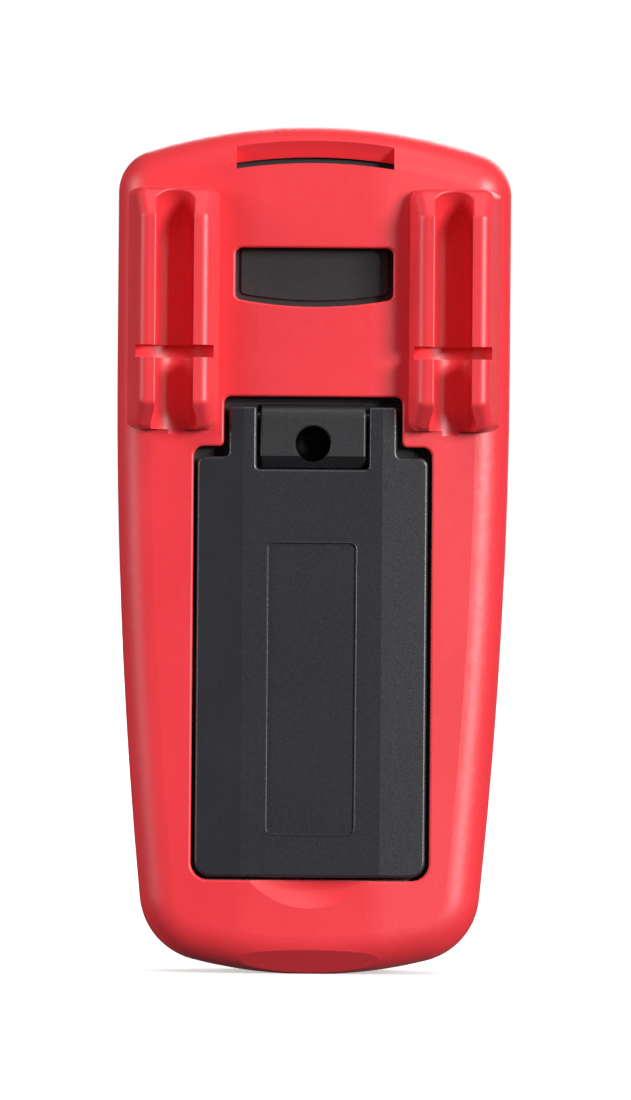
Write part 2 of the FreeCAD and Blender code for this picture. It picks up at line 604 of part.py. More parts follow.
# ---------------------------------------------------------------------------------------------
# Case
# ---------------------------------------------------------------------------------------------
CASE_SCREWS = [("-boss_x", "boss_z"), ("boss_x", "boss_z"), ("-foot_boss_x", "foot_boss_z"),
               ("foot_boss_x", "foot_boss_z")]
BOARD_SCREWS = [("-board_screw_x", "board_screw_z"), ("board_screw_x", "board_screw_z")]
JACKS = {"v": "-jack_outer_x", "com": "-jack_outer_x + jack_pair", "ma": "jack_inner_x", "a": "jack_outer_x"}
KEYS = [(f"{column} * key_pitch_x", row) for row in ("key_row_1", "key_row_2") for column in (1, 0, -1)]


def rods(name, radius, spots, y):
    """Rods front to back at several places, as one list."""
    return [rod(f"{name}_{n}", radius, x, y, z) for n, (x, z) in enumerate(spots, start=1)]


def cover_seat():
    """A frame inside the rear case that the battery cover rests on."""
    half, low, high = "cover_half", "cover_low", "cover_high"
    levels = ("case_back_y + cover_thick", "seat_y")
    outer = box("seat_outer", (f"-{half} - seat_half", f"{half} + seat_half"), levels,
                (f"{low} - seat_half", f"{high} + seat_half"))
    inner = box("seat_inner", (f"-{half} + seat_half", f"{half} - seat_half"), levels,
                (f"{low} + seat_half", f"{high} - seat_half"))
    return cut("seat_frame", outer, inner)


def insert_bridge():
    """The bridge over the battery bay that holds the threaded insert, with a leg at each end."""
    level = ("insert_y", "insert_y + deck_thick")
    span = ("screw_z - screw_well", "screw_z + screw_well")
    deck = box("bridge_deck", ("-cover_half - seat_half", "cover_half + seat_half"), level, span)
    legs = [box(f"bridge_leg_{n}", (f"{s} * cover_half - seat_half", f"{s} * cover_half + seat_half"),
                ("seat_y", "insert_y"), span) for n, s in enumerate((-1, 1), start=1)]
    boss = rod("bridge_boss", "insert_boss", "0", ("insert_y", "insert_y + insert_long + gap"), "screw_z")
    return [deck, *legs, boss]


def rear_case():
    """Rear half of the case: a tray with a recess for the battery cover, walls round the battery, screw
    bosses and a raised plate behind the holster's window."""
    outside = shell("rear_outside", "case_inset", "parting_y", "case_back_y", "case_round")
    inside = shell("rear_inside", "case_inset + case_wall", "parting_y + 1", "case_back_y + cover_thick",
                   "case_round - case_wall")
    fit = "cover_half + gap"
    recess = box("cover_recess", ("-" + fit.replace("+", "-"), fit),
                 ("holder_y", "case_back_y + cover_thick"),
                 ("cover_low - gap", "cover_high + gap"))
    tray = cut("rear_tray", outside, inside, recess)
    around, depth = "(wall_gap + wall_thick)", ("seat_y", "battery_front_y")
    walls = cut("battery_walls",
                box("walls_outer", (f"battery_left - {around}", f"battery_right + {around}"), depth,
                    (f"battery_low - {around}", "snap_high + snap_room + wall_thick")),
                box("walls_inner", ("battery_left - wall_gap", "battery_right + wall_gap"), depth,
                    ("battery_low - wall_gap", "snap_high + snap_room")))
    bosses = rods("rear_boss", "rear_boss", CASE_SCREWS, ("case_back_y + 1", "parting_y"))
    plate = window_panel("label_plate", "label_inset", "window_high + label_rise", "case_back_y + 1",
                         "label_y",
                         "label_corner")
    back = number("label_y")
    softened(plate, "Fillet", "label_plate_edge", "label_edge", lambda b, e: b.YMax < back + 0.01)
    solid = fuse("rear_solid", tray, cover_seat(), walls, plate, *bosses, *insert_bridge())
    wells = rods("rear_well", "rear_well", CASE_SCREWS, ("holder_y", "head_y"))
    holes = rods("rear_hole", "rear_hole", CASE_SCREWS, ("holder_y", "parting_y"))
    insert = rod("insert_hole", "insert_fit", "0", ("insert_y - 1", "insert_y + insert_long + 1"), "screw_z")
    return cut("rear_case", solid, insert, *wells, *holes)


def front_case():
    """Front half of the case: a raised face with openings for the lens, keys, dial and jacks."""
    sides = shell("front_sides", "case_inset", "shoulder_y", "parting_y")
    face = shell("front_face", "plateau_inset", "face_y", "parting_y", None, "face_round")
    inside = shell("front_inside", "case_inset + case_wall", "face_y - case_wall", "parting_y - 1")
    tray = cut("front_tray", fuse("front_shell", sides, face), inside)
    bosses = rods("front_boss", "front_boss", CASE_SCREWS, ("parting_y", "face_y - 1"))
    posts = rods("board_post", "post", BOARD_SCREWS, ("board_front_y", "face_y - 1"))
    ring = tube("detent_ring", "ring_outer", "ring_inner", "0",
                ("board_front_y + gap", "face_y - case_wall + 0.5"),
                "dial_z")
    solid = fuse("front_solid", tray, ring, *bosses, *posts)

    through = ("face_y - 3", "face_y + 1")
    slot = "lens_half + gap / 2"
    openings = [
        slab("lens_pocket", (f"-{slot.replace('+', '-')}", slot),
             ("lens_low - gap / 2", "lens_high + gap / 2"),
             "face_y + 1", "face_y - lens_thick", "lens_corner"),
        slab("view_hole", ("-view_half", "view_half"), ("view_low", "view_high"), "face_y", "face_y - 3",
             "hole_corner"),
        rod("dial_hole", "hub_radius + gap / 2", "0", through, "dial_z"),
    ]
    openings += rods("jack_hole", "collar_outer + gap / 2", [(x, "jack_z") for x in JACKS.values()], through)
    openings += rods("front_pilot", "front_pilot", CASE_SCREWS, ("parting_y", "parting_y + pilot_deep"))
    openings += rods("post_pilot", "post_pilot", BOARD_SCREWS, ("board_front_y", "board_front_y + post_deep"))
    wide, tall = "(key_half + key_gap)", "(key_half_z + key_gap)"
    for n, (x, z) in enumerate(KEYS, start=1):
        openings.append(slab(f"key_hole_{n}", (f"{x} - {wide}", f"{x} + {wide}"),
                             (f"{z} - {tall}", f"{z} + {tall}"), through[1], through[0], "hole_corner"))
    return cut("front_case", solid, *openings)


def battery_cover():
    """Battery cover: a flat plate with the knuckle that the stand hinges on, and its screw well."""
    plate = slab("cover_plate", ("-cover_half", "cover_half"), ("cover_low", "cover_high"),
                 "case_back_y + cover_thick", "case_back_y", "cover_corner")
    knuckle = body("cover_knuckle")
    section = sketch_on(knuckle, "knuckle_section", "YZ_Plane", "-knuckle_half")
    polygon(section, [("case_back_y + 1", "knuckle_low"), ("back_y + knuckle_bevel", "knuckle_low"),
                      ("back_y", "knuckle_low + knuckle_bevel"), ("back_y", "knuckle_high"),
                      ("case_back_y + 1", "knuckle_high")])
    feature(knuckle, "Pad", "knuckle_pad", section, "2 * knuckle_half")
    back, top = number("back_y"), number("knuckle_high")
    softened(knuckle, "Fillet", "knuckle_top", "knuckle_round",
             lambda b, e: b.YMax < back + 0.01 and b.ZMin > top - 0.01 and b.XLength > 1)
    softened(knuckle, "Fillet", "knuckle_sides", "knuckle_edge",
             lambda b, e: b.XLength < 0.01 and b.YMax < back + 3 and b.YLength + b.ZLength > 1)
    boss = rod("cover_boss", "well_boss", "0", ("case_back_y + 1", "insert_y - gap"), "screw_z")
    solid = fuse("cover_solid", plate, knuckle, boss)
    well = rod("screw_well_bore", "screw_well", "0", ("holder_y", "well_floor_y"), "screw_z")
    hole = rod("screw_clear_hole", "screw_clear", "0", ("holder_y", "insert_y"), "screw_z")
    lead = doc.addObject("Part::Cone", "screw_well_lead")
    bind(lead, "Radius1", "screw_well + well_lead")
    bind(lead, "Radius2", "screw_well")
    bind(lead, "Height", "well_lead")
    at(lead, "0", "back_y", "screw_z", TURNS["Y"])
    bores = [rod(f"pin_bore_{n}", "pin_radius + pin_clear", (f"{low}", f"{high}"), "hinge_y", "hinge_z")
             for n, (low, high) in enumerate((("-knuckle_half - 1", "pin_end_gap - pin_end"),
                                              ("pin_end - pin_end_gap", "knuckle_half + 1")), start=1)]
    return cut("battery_cover", solid, well, hole, lead, *bores)


def cross_screw(name, x, y, z, kind):
    """A screw that points to the front, with a cross recess in its head."""
    low, high = y
    head, shaft, tall = (f"{kind}_{part}" for part in ("head", "shaft", "head_tall"))
    blank = fuse(name + "_blank", rod(name + "_bare_head", head, x, (low, f"{low} + {tall}"), z),
                 rod(name + "_bare_shaft", shaft, x, (low, high), z))
    arms = []
    for label, across, along in (("flat", "cross_reach", "cross_half"),
                                 ("upright", "cross_half", "cross_reach")):
        arms.append(box(f"{name}_{label}_slot", (f"{x} - {across}", f"{x} + {across}"),
                        (f"{low} - 1", f"{low} + {tall} / 2"), (f"{z} - {along}", f"{z} + {along}")))
    return cut(name, blank, *arms)


def cover_insert():
    """The threaded bush that the battery cover's screw turns into."""
    return tube("cover_insert", "insert_outer", "insert_inner", "0", ("insert_y", "insert_y + insert_long"),
                "screw_z")


# ---------------------------------------------------------------------------------------------
# Tilt stand
# ---------------------------------------------------------------------------------------------
def tilt_stand():
    """The stand: a ribbed panel with sloping sides, and two ears whose pins turn in the knuckle."""
    panel = body("stand_panel")
    outline = sketch_on(panel, "stand_outline", "XZ_Plane", "stand_inner_y")
    right = [("stand_half", "stand_low"), ("stand_half", "stand_step"), ("ear_out", "stand_step"),
             ("ear_out", "hinge_z + barrel"), ("ear_in", "hinge_z + barrel"), ("ear_in", "fork_low")]
    left = [("-" + x, z) for x, z in reversed(right)]
    polygon(outline, right + left)
    feature(panel, "Pad", "stand_pad", outline, "stand_inner_y - back_y")
    slope_pocket(panel, "stand_slopes", "stand_crease", 0, "height")

    spots = {"stand_half": [("stand_low", "stand_foot_round"), ("stand_step", "stand_shoulder_round")],
             "ear_out": [("stand_step", "ear_foot_round"), ("hinge_z + barrel", "ear_top_round")],
             "ear_in": [("fork_low", "ear_top_round")]}
    for half, levels in spots.items():
        for level, radius in levels:
            x, z = number(half), number(level)
            softened(panel, "Fillet", f"stand_{half}_{len(panel.Group)}", radius,
                     lambda b, e: along_y(b, e) and abs(b.ZMin - z) < 0.01 and abs(abs(b.XMin) - x) < 0.01)
    inner, top = number("stand_inner_y"), number("hinge_z + barrel")
    softened(panel, "Fillet", "stand_barrel", "barrel - 0.1",
             lambda b, e: b.YMin > inner - 0.01 and b.ZMin > top - 1 and b.XLength > 3)
    rim, crease = number("hinge_y - 0.1"), number("stand_crease")
    softened(panel, "Fillet", "stand_edges", "stand_round",
             lambda b, e: b.YMax < rim and not (b.XLength < 0.01 and abs(abs(b.XMin) - crease) < 0.05))
    hollows = sketch_on(panel, "stand_hollows", "XZ_Plane", "stand_inner_y")
    side, rib = "(stand_half - stand_rim)", "stand_half / 3"
    middle = "(stand_low + fork_low) / 2"
    columns = [(f"-{side}", f"-{rib} - rib_half"), (f"-{rib} + rib_half", f"{rib} - rib_half"),
               (f"{rib} + rib_half", side)]
    for low, high in (("stand_low + stand_rim", f"{middle} - rib_half"),
                      (f"{middle} + rib_half", "fork_low - stand_rim")):
        for x in columns:
            rectangle(hollows, x, (low, high))
    pocket = feature(panel, "Pocket", "stand_pockets", hollows, "stand_inner_y - back_y - stand_skin")
    pocket.Reversed = True

    recess = slab("stand_recess", ("-panel_half", "panel_half"), ("panel_low", "panel_high"),
                  "back_y + panel_deep", "holder_y", "panel_corner")
    pins = [rod(f"stand_pin_{n}", "pin_radius", (low, high), "hinge_y", "hinge_z")
            for n, (low, high) in enumerate((("-ear_in - 1", "-pin_end"), ("pin_end", "ear_in + 1")),
                                            start=1)]
    return cut("tilt_stand", fuse("stand_with_pins", panel, *pins), recess)


# ---------------------------------------------------------------------------------------------
# Display, keys and dial
# ---------------------------------------------------------------------------------------------
def display_parts():
    """The lens and, behind it, the display panel, its light guide, frame and contact strips."""
    lens = slab("display_lens", ("-lens_half", "lens_half"), ("lens_low", "lens_high"), "face_y",
                "face_y - lens_thick", "lens_corner")
    panel = slab("lcd_panel", ("-lcd_half", "lcd_half"), ("lcd_low", "lcd_high"), "lcd_front_y", "lcd_back_y",
                 "lcd_corner")
    guide = slab("light_guide", ("-strip_half", "strip_half"), ("lcd_low + guide_in", "lcd_high - guide_in"),
                 "lcd_back_y", "board_front_y", "lcd_corner")
    wide = "(lcd_half + frame_wall)"
    frame = cut("lcd_frame",
                slab("lcd_frame_outer", ("-" + wide, wide), ("lcd_low - frame_over", "lcd_high + frame_over"),
                     "lcd_front_y", "board_front_y", "2 * lcd_corner"),
                slab("lcd_frame_inner", ("-lcd_half - gap", "lcd_half + gap"),
                     ("lcd_low - gap", "lcd_high + gap"),
                     "lcd_front_y", "board_front_y", "lcd_corner"))
    made = {"display_lens": lens, "lcd_panel": panel, "light_guide": guide, "lcd_frame": frame}
    for name, low in (("zebra_strip_lower", "lcd_low + 2 * gap"),
                      ("zebra_strip_upper", "lcd_high - 2 * gap - strip_tall")):
        made[name] = box(name, ("-strip_half", "strip_half"), ("board_front_y", "lcd_back_y"),
                         (low, f"{low} + strip_tall"))
    return made


def push_key(name, x, z):
    """A key cap with a flange that stops it behind the face."""
    cap = slab(name + "_cap", (f"{x} - key_half", f"{x} + key_half"),
               (f"{z} - key_half_z", f"{z} + key_half_z"),
               "face_y + key_out", "key_back_y", "key_corner", "key_edge")
    wide, tall = "(key_half + flange_out)", "(key_half_z + flange_out)"
    flange = slab(name + "_flange", (f"{x} - {wide}", f"{x} + {wide}"), (f"{z} - {tall}", f"{z} + {tall}"),
                  "key_back_y + flange_thick", "key_back_y", "key_corner")
    return fuse(name, cap, flange)


def keypad_membrane():
    """The rubber sheet behind the keys, with a pad under each."""
    mat = slab("membrane_sheet", ("-membrane_half", "membrane_half"),
               ("key_row_2 - membrane_over", "key_row_1 + membrane_over"), "board_front_y + membrane_thick",
               "board_front_y", "key_corner")
    pads = rods("membrane_pad", "pad_radius", KEYS, ("board_front_y", "board_front_y + pad_tall"))
    return fuse("keypad_membrane", mat, *pads)


def dial_turn(thing):
    """Puts a piece that is modelled about the dial's axis in its place, with the pointer at OFF."""
    return at(thing, "0", "0", "dial_z", Rotation(Vector(0, 1, 0), 120))


def knob():
    """The dial's knob: a skirt with a finger grip across it, and a hub that turns in the face."""
    turned = body("knob")
    profile = sketch_on(turned, "knob_profile", "XY_Plane")
    top = "face_y + skirt_rim + skirt_bevel"
    polygon(profile, [("0", "hub_y"), ("hub_radius", "hub_y"), ("hub_radius", "face_y + skirt_gap"),
                      ("knob_radius", "face_y + skirt_gap"), ("knob_radius", "face_y + skirt_rim"),
                      ("knob_radius - skirt_bevel", top), ("0", top + " + skirt_crown")])
    skirt = turned.newObject("PartDesign::Revolution", "knob_skirt")
    skirt.Profile = profile
    skirt.ReferenceAxis = (profile, ["V_Axis"])
    skirt.Angle = 360
    bar = sketch_on(turned, "grip_outline", "XZ_Plane", "knob_y")
    rectangle(bar, ("-grip_half", "grip_half"), ("-knob_radius + grip_in", "knob_radius - grip_in"))
    feature(turned, "Pad", "grip_pad", bar, "knob_y - face_y - skirt_rim")
    ends, top = number("knob_radius - grip_in"), number("knob_y")
    softened(turned, "Fillet", "grip_ends", "grip_half - 0.3",
             lambda b, e: along_y(b, e) and abs(abs(b.ZMin) - ends) < 0.01)
    softened(turned, "Fillet", "grip_top_edge", "grip_edge", lambda b, e: b.YMin > top - 0.01)
    inlay = rectangle(sketch_on(turned, "inlay_outline", "XZ_Plane", "knob_y - inlay_deep"),
                      ("-inlay_half", "inlay_half"), ("inlay_low", "knob_radius - inlay_in"))
    pocket = feature(turned, "Pocket", "inlay_pocket", inlay, "1")
    pocket.Reversed = False
    return dial_turn(turned)


def knob_pointer():
    """The white bar let into the knob's grip."""
    half = "(inlay_half - inlay_gap)"
    long = ("inlay_low + inlay_gap", "knob_radius - inlay_in - inlay_gap")
    return dial_turn(slab("knob_pointer", ("-" + half, half), long, "knob_y", "knob_y - inlay_deep"))


def rotor():
    """The switch rotor behind the face, with a radial hole on each side for a detent ball."""
    disc = rod("rotor_disc", "rotor_radius", "0", ("rotor_y", "hub_y"), "dial_z")
    reach = "(rotor_radius + 1)"
    spans = (("-" + reach, "-detent_floor"), ("detent_floor", reach))
    holes = [rod(f"rotor_hole_{n}", "detent_hole", span, "(rotor_y + hub_y) / 2", "dial_z")
             for n, span in enumerate(spans, start=1)]
    return cut("rotor", disc, *holes)


def detents():
    """Two sprung balls in the rotor's rim that click along the ring inside the face."""
    made = {}
    for n, side in enumerate(("-1", "1"), start=1):
        level = "(rotor_y + hub_y) / 2"
        made[f"detent_ball_{n}"] = ball(f"detent_ball_{n}", "detent_ball", f"{side} * detent_out", level,
                                          "dial_z")
        span = ("-spring_end", "-detent_floor") if side == "-1" else ("detent_floor", "spring_end")
        made[f"detent_spring_{n}"] = tube(f"detent_spring_{n}", "spring_outer", "spring_inner", span, level,
                                          "dial_z")
    return made


# ---------------------------------------------------------------------------------------------
# Jacks
# ---------------------------------------------------------------------------------------------
def jack_collar(name, x):
    """The round guard of one jack, flanged at the face and closed at its foot around the sleeve."""
    outer = rod(name + "_barrel", "collar_outer", x, ("collar_back_y", "face_y + gap"), "jack_z")
    flange = rod(name + "_flange", "collar_flange", x, ("face_y", "face_y + flange_rise"), "jack_z")
    bore = rod(name + "_bore", "collar_inner", x, ("collar_back_y + collar_foot", "face_y + 2"), "jack_z")
    foot = rod(name + "_foot", "sleeve_outer + gap / 2", x, ("collar_back_y - 1", "face_y"), "jack_z")
    return cut(name, fuse(name + "_solid", outer, flange), bore, foot)


def jack_sleeve(name, x):
    """One jack's contact: a blind tube for a 4 mm plug."""
    outer = rod(name + "_outer", "sleeve_outer", x, ("jack_floor_y - 1", "jack_mouth_y"), "jack_z")
    return cut(name, outer, rod(name + "_bore", "jack_radius", x, ("jack_floor_y", "jack_mouth_y"), "jack_z"))


# ---------------------------------------------------------------------------------------------
# Circuit board, fuses and battery
# ---------------------------------------------------------------------------------------------
def main_board():
    """The circuit board, with holes for the sockets, the screws and the case's posts."""
    plate = shell("board_plate", "board_inset", "board_front_y", "board_back_y")
    holes = rods("board_collar_hole", "collar_outer + board_ease", [(x, "jack_z") for x in JACKS.values()],
                 ("board_back_y", "board_front_y"))
    holes += rods("board_boss_hole", "board_boss_hole", CASE_SCREWS, ("board_back_y", "board_front_y"))
    holes += rods("board_screw_hole", "board_screw_hole", BOARD_SCREWS, ("board_back_y", "board_front_y"))
    return cut("main_board", plate, *holes)


def fuse_link(name, radius, x, y, z, cap):
    """A cartridge fuse along X or Z: its barrel, and the caps on both ends."""
    low, high = x if isinstance(x, tuple) else z

    def piece(label, size, start, end):
        span = (start, end)
        return rod(label, size, span if isinstance(x, tuple) else x, y, span if isinstance(z, tuple) else z)

    barrel = piece(name, f"{radius} - barrel_step", f"{low} + {cap}", f"{high} - {cap}")
    ends = fuse(name + "_caps", piece(name + "_cap_1", radius, low, f"{low} + {cap}"),
                piece(name + "_cap_2", radius, f"{high} - {cap}", high))
    return {name: barrel, name + "_caps": ends}


def fuse_clip(name, radius, x, y, z):
    """A spring clip round one end of a fuse, with a foot on the circuit board."""
    ring = tube(name + "_ring", f"{radius} + clip_thick", f"{radius} + clip_ease", x, y, z)
    along_x = isinstance(x, tuple)
    reach = (f"{z if along_x else x} - {radius} - 1", f"{z if along_x else x} + {radius} + 1")
    mouth = box(name + "_mouth", x if along_x else reach, (f"{y} - {radius} - 1", f"{y} - {radius} / 2"),
                reach if along_x else z)
    grip = (f"{z if along_x else x} - {radius} / 2", f"{z if along_x else x} + {radius} / 2")
    foot = box(name + "_foot", x if along_x else grip, (f"{y} + {radius} + gap", "board_back_y"),
               grip if along_x else z)
    return fuse(name, cut(name + "_spring", ring, mouth), foot)


def clip_span(which, number_of_clip):
    """Where a clip lies along its fuse: just inside the fuse's low end or its high end."""
    if number_of_clip == 1:
        return f"{which}_low + clip_in", f"{which}_low + clip_in + clip_wide"
    return f"{which}_high - clip_in - clip_wide", f"{which}_high - clip_in"


def shunt_bar():
    """The bar that carries the high current, bent like a staple over the circuit board."""
    width = ("shunt_x", "shunt_x + shunt_thick")
    outer = box("shunt_outer", width, ("shunt_y", "board_back_y"), ("shunt_low", "shunt_high"))
    inner = box("shunt_inner", width, ("shunt_y + shunt_thick", "board_back_y"),
                ("shunt_low + shunt_thick", "shunt_high - shunt_thick"))
    return cut("shunt_bar", outer, inner)


def battery_parts():
    """The 9 V battery, its two studs and the snap that fits over them."""
    width = ("battery_left", "battery_right")
    block = slab("battery", width, ("battery_low", "battery_high"), "battery_front_y", "battery_back_y",
                 "battery_corner")
    middle = "(battery_left + battery_right) / 2"
    studs = [rod(f"battery_stud_{n}", radius, f"{middle} {side} stud_apart", "stud_y",
                 ("battery_high", "snap_low"))
             for n, (radius, side) in enumerate((("stud_small", "-"), ("stud_large", "+")), start=1)]
    snap = slab("battery_snap", ("battery_left + snap_in", "battery_right - snap_in"),
                ("snap_low", "snap_high"),
                "snap_front_y", "snap_back_y", "snap_in")
    return {"battery": block, "battery_studs": fuse("battery_studs", *studs), "battery_snap": snap}


# ---------------------------------------------------------------------------------------------
# Build, check and write
# ---------------------------------------------------------------------------------------------
def all_parts():
    """Every sub-part by its node name."""
    parts = {"holster": holster(), "rear_case": rear_case(), "front_case": front_case(),
             "battery_cover": battery_cover(), "cover_insert": cover_insert(), "tilt_stand": tilt_stand(),
             "keypad_membrane": keypad_membrane(), "knob": knob(), "knob_pointer": knob_pointer(),
             "rotor": rotor(), "main_board": main_board(), "shunt_bar": shunt_bar()}
    parts["cover_screw"] = cross_screw("cover_screw", "0",
                                       ("well_floor_y - cover_screw_head_tall", "cover_screw_end"),
                                       "screw_z", "cover_screw")
    parts.update(display_parts())
    for n, (x, z) in enumerate(KEYS, start=1):
        parts[f"key_{n}"] = push_key(f"key_{n}", x, z)
    parts["wiper_ring"] = tube("wiper_ring", "wiper_outer", "wiper_inner", "0",
                               ("board_front_y + 2 * gap", "rotor_y"), "dial_z")
    parts.update(detents())
    parts["face_label"] = tube("face_label", "label_radius", "knob_radius + label_gap", "0",
                               ("face_y", "face_y + label_thick"), "dial_z")
    for name, x in JACKS.items():
        parts[f"jack_collar_{name}"] = jack_collar(f"jack_collar_{name}", x)
        parts[f"jack_sleeve_{name}"] = jack_sleeve(f"jack_sleeve_{name}", x)
    parts.update(fuse_link("fuse_10a", "large_fuse", "large_x", "large_y", ("large_low", "large_high"),
                           "large_cap"))
    parts.update(fuse_link("fuse_ma", "small_fuse", ("small_low", "small_high"), "small_y", "small_z",
                           "small_cap"))
    for n in (1, 2):
        large, small = clip_span("large", n), clip_span("small", n)
        parts[f"fuse_clip_10a_{n}"] = fuse_clip(f"fuse_clip_10a_{n}", "large_fuse", "large_x", "large_y",
                                                large)
        parts[f"fuse_clip_ma_{n}"] = fuse_clip(f"fuse_clip_ma_{n}", "small_fuse", small, "small_y", "small_z")
    parts.update(battery_parts())
    parts["buzzer"] = rod("buzzer", "buzzer_radius", "buzzer_x", ("buzzer_y", "board_back_y"), "buzzer_z")
    parts["microchip"] = box("microchip", ("chip_x - chip_half", "chip_x + chip_half"),
                             ("chip_y", "board_back_y"),
                             ("chip_low", "chip_low + 2 * chip_half"))
    for n, (x, z) in enumerate(CASE_SCREWS, start=1):
        span = ("head_y - case_screw_head_tall", "case_screw_end")
        parts[f"case_screw_{n}"] = cross_screw(f"case_screw_{n}", x, span, z, "case_screw")
    for n, (x, z) in enumerate(BOARD_SCREWS, start=1):
        span = ("board_back_y - board_screw_head_tall", "board_screw_end")
        parts[f"board_screw_{n}"] = cross_screw(f"board_screw_{n}", x, span, z, "board_screw")
    return parts


def check_and_write(parts):
    """Stops at any object that failed, then writes each sub-part's shape to its own file."""
    doc.recompute()
    failed = [o.Name for o in doc.Objects if {"Invalid", "Error"} & set(o.State)]
    for node, thing in parts.items():
        if thing.Shape.isNull() or not thing.Shape.isValid() or not thing.Shape.Solids:
            failed.append(node)
    if failed:
        raise RuntimeError("failed: " + ", ".join(failed))
    os.makedirs("parts", exist_ok=True)
    for node, thing in parts.items():
        thing.Label = node
        thing.Shape.exportStep(f"parts/{node}.step")
        size = thing.Shape.optimalBoundingBox()
        print(f"{node:20s} solids {len(thing.Shape.Solids)}  volume {thing.Shape.Volume:9.1f}  "
              f"x {size.XMin:7.2f} {size.XMax:7.2f}  y {size.YMin:7.2f} {size.YMax:7.2f}  "
              f"z {size.ZMin:7.2f} {size.ZMax:7.2f}")


check_and_write(all_parts())
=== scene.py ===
# %% [markdown]
# # A handheld meter in a red holster
#
# The meter's parts come ready-made, at their real size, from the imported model: the rubber holster, the
# two halves of the case, the tilt stand, the dial and so on. This lesson dresses them. Each step first
# says what a piece or a finish is on the real object, and then makes it.

# %% Load the fixed frame
import math

import bmesh
import bpy
import numpy as np
from mathutils import Matrix, Vector


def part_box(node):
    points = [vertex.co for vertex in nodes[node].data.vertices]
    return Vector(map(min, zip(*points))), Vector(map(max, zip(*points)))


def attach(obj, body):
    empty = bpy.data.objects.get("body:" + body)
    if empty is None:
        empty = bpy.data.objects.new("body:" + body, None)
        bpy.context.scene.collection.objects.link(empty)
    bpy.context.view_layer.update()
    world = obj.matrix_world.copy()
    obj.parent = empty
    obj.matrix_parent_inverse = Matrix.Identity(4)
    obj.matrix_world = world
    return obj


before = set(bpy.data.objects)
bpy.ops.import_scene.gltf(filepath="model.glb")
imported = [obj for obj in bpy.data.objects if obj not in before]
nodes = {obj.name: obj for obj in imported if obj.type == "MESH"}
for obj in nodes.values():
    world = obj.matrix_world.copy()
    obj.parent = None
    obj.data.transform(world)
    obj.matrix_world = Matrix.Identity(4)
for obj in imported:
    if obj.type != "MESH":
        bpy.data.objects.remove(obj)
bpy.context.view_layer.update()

# %% [markdown]
# ## Camera
#
# The meter is seen squarely from the back. A long lens two metres away keeps its sides parallel, as a
# catalogue picture does. The camera leans by half a degree, so the meter leans the other way.

# %% Camera
view_height = 0.2364
camera_distance = 2.0
nearest_wide_level = -0.007
view_centre = (0.0007, 0.0910)
lean = math.radians(0.476)

camera_data = bpy.data.cameras.new("camera")
camera_data.lens = camera_data.sensor_width * camera_distance / view_height
camera = bpy.data.objects.new("camera", camera_data)
bpy.context.scene.collection.objects.link(camera)
camera.matrix_world = (
    Matrix.Translation((view_centre[0], nearest_wide_level - camera_distance, view_centre[1]))
    @ Matrix.Rotation(math.pi / 2, 4, "X")
    @ Matrix.Rotation(lean, 4, "Z")
)
bpy.context.scene.camera = camera
bpy.context.scene.view_settings.view_transform = "Standard"
print("lens", round(camera_data.lens, 1), "mm")

# %% [markdown]
# ## Floor and light
#
# A pale floor runs out to a pale sky of the same brightness, so no horizon shows from any side. The
# main light is a soft sun 48 degrees round to the right and a little above, so the faces that turn
# right are the brightest, while the probe channels and the gap round the stand are in part shade. A
# weaker sun from the left edges the other side, one from above lights the shoulders, and one from the
# front keeps the display readable. A small sun that adds shine only picks out the facets that slope to
# the right. The floor is seen and takes the shadow, but throws no light back, as black cards would see
# to.

# %% Floor, sky and suns
def aim(direction):
    """The turn that makes a sun, which shines along its own -Z, shine from that direction."""
    return Vector(direction).to_track_quat("Z", "Y").to_matrix().to_4x4()


def add_sun(name, direction, strength, softness):
    """A sun that shines from a direction, its disc that many degrees across."""
    data = bpy.data.lights.new(name, "SUN")
    data.energy = strength
    data.angle = math.radians(softness)
    sun = bpy.data.objects.new(name, data)
    sun.matrix_world = aim(direction)
    bpy.context.scene.collection.objects.link(sun)


add_sun("key_sun", (0.72, -0.65, 0.22), 3.3, 22)
add_sun("left_sun", (-0.92, -0.30, 0.22), 1.7, 30)
add_sun("top_sun", (0.15, -0.45, 0.88), 0.8, 30)
add_sun("front_sun", (0.20, 0.90, 0.40), 2.4, 40)
add_sun("gloss_sun", (0.60, -0.78, 0.14), 1.7, 8)
bpy.data.objects["gloss_sun"].visible_diffuse = False

world = bpy.data.worlds.new("sky")
world.use_nodes = True
sky = world.node_tree.nodes["Background"]
sky.inputs["Color"].default_value = (1, 1, 1, 1)
sky.inputs["Strength"].default_value = 0.05
seen = world.node_tree.nodes.new("ShaderNodeBackground")
seen.inputs["Color"].default_value = (1, 1, 1, 1)
seen.inputs["Strength"].default_value = 1.0
path = world.node_tree.nodes.new("ShaderNodeLightPath")
choice = world.node_tree.nodes.new("ShaderNodeMixShader")
links = world.node_tree.links
links.new(path.outputs["Is Camera Ray"], choice.inputs["Fac"])
links.new(sky.outputs[0], choice.inputs[1])
links.new(seen.outputs[0], choice.inputs[2])
links.new(choice.outputs[0], world.node_tree.nodes["World Output"].inputs["Surface"])
bpy.context.scene.world = world

floor_half = 30.0
floor_mesh = bpy.data.meshes.new("floor")
floor_corners = [(x * floor_half, y * floor_half, 0) for x, y in ((-1, -1), (1, -1), (1, 1), (-1, 1))]
floor_mesh.from_pydata(floor_corners, [], [(0, 1, 2, 3)])
floor = bpy.data.objects.new("floor", floor_mesh)
bpy.context.scene.collection.objects.link(floor)
floor.visible_diffuse = False
floor.visible_glossy = False

# %% [markdown]
# ## A small kit for materials
#
# Every finish here is one Principled shader with a few texture nodes that read Object coordinates, in
# metres, so the grain keeps its real size on every piece.

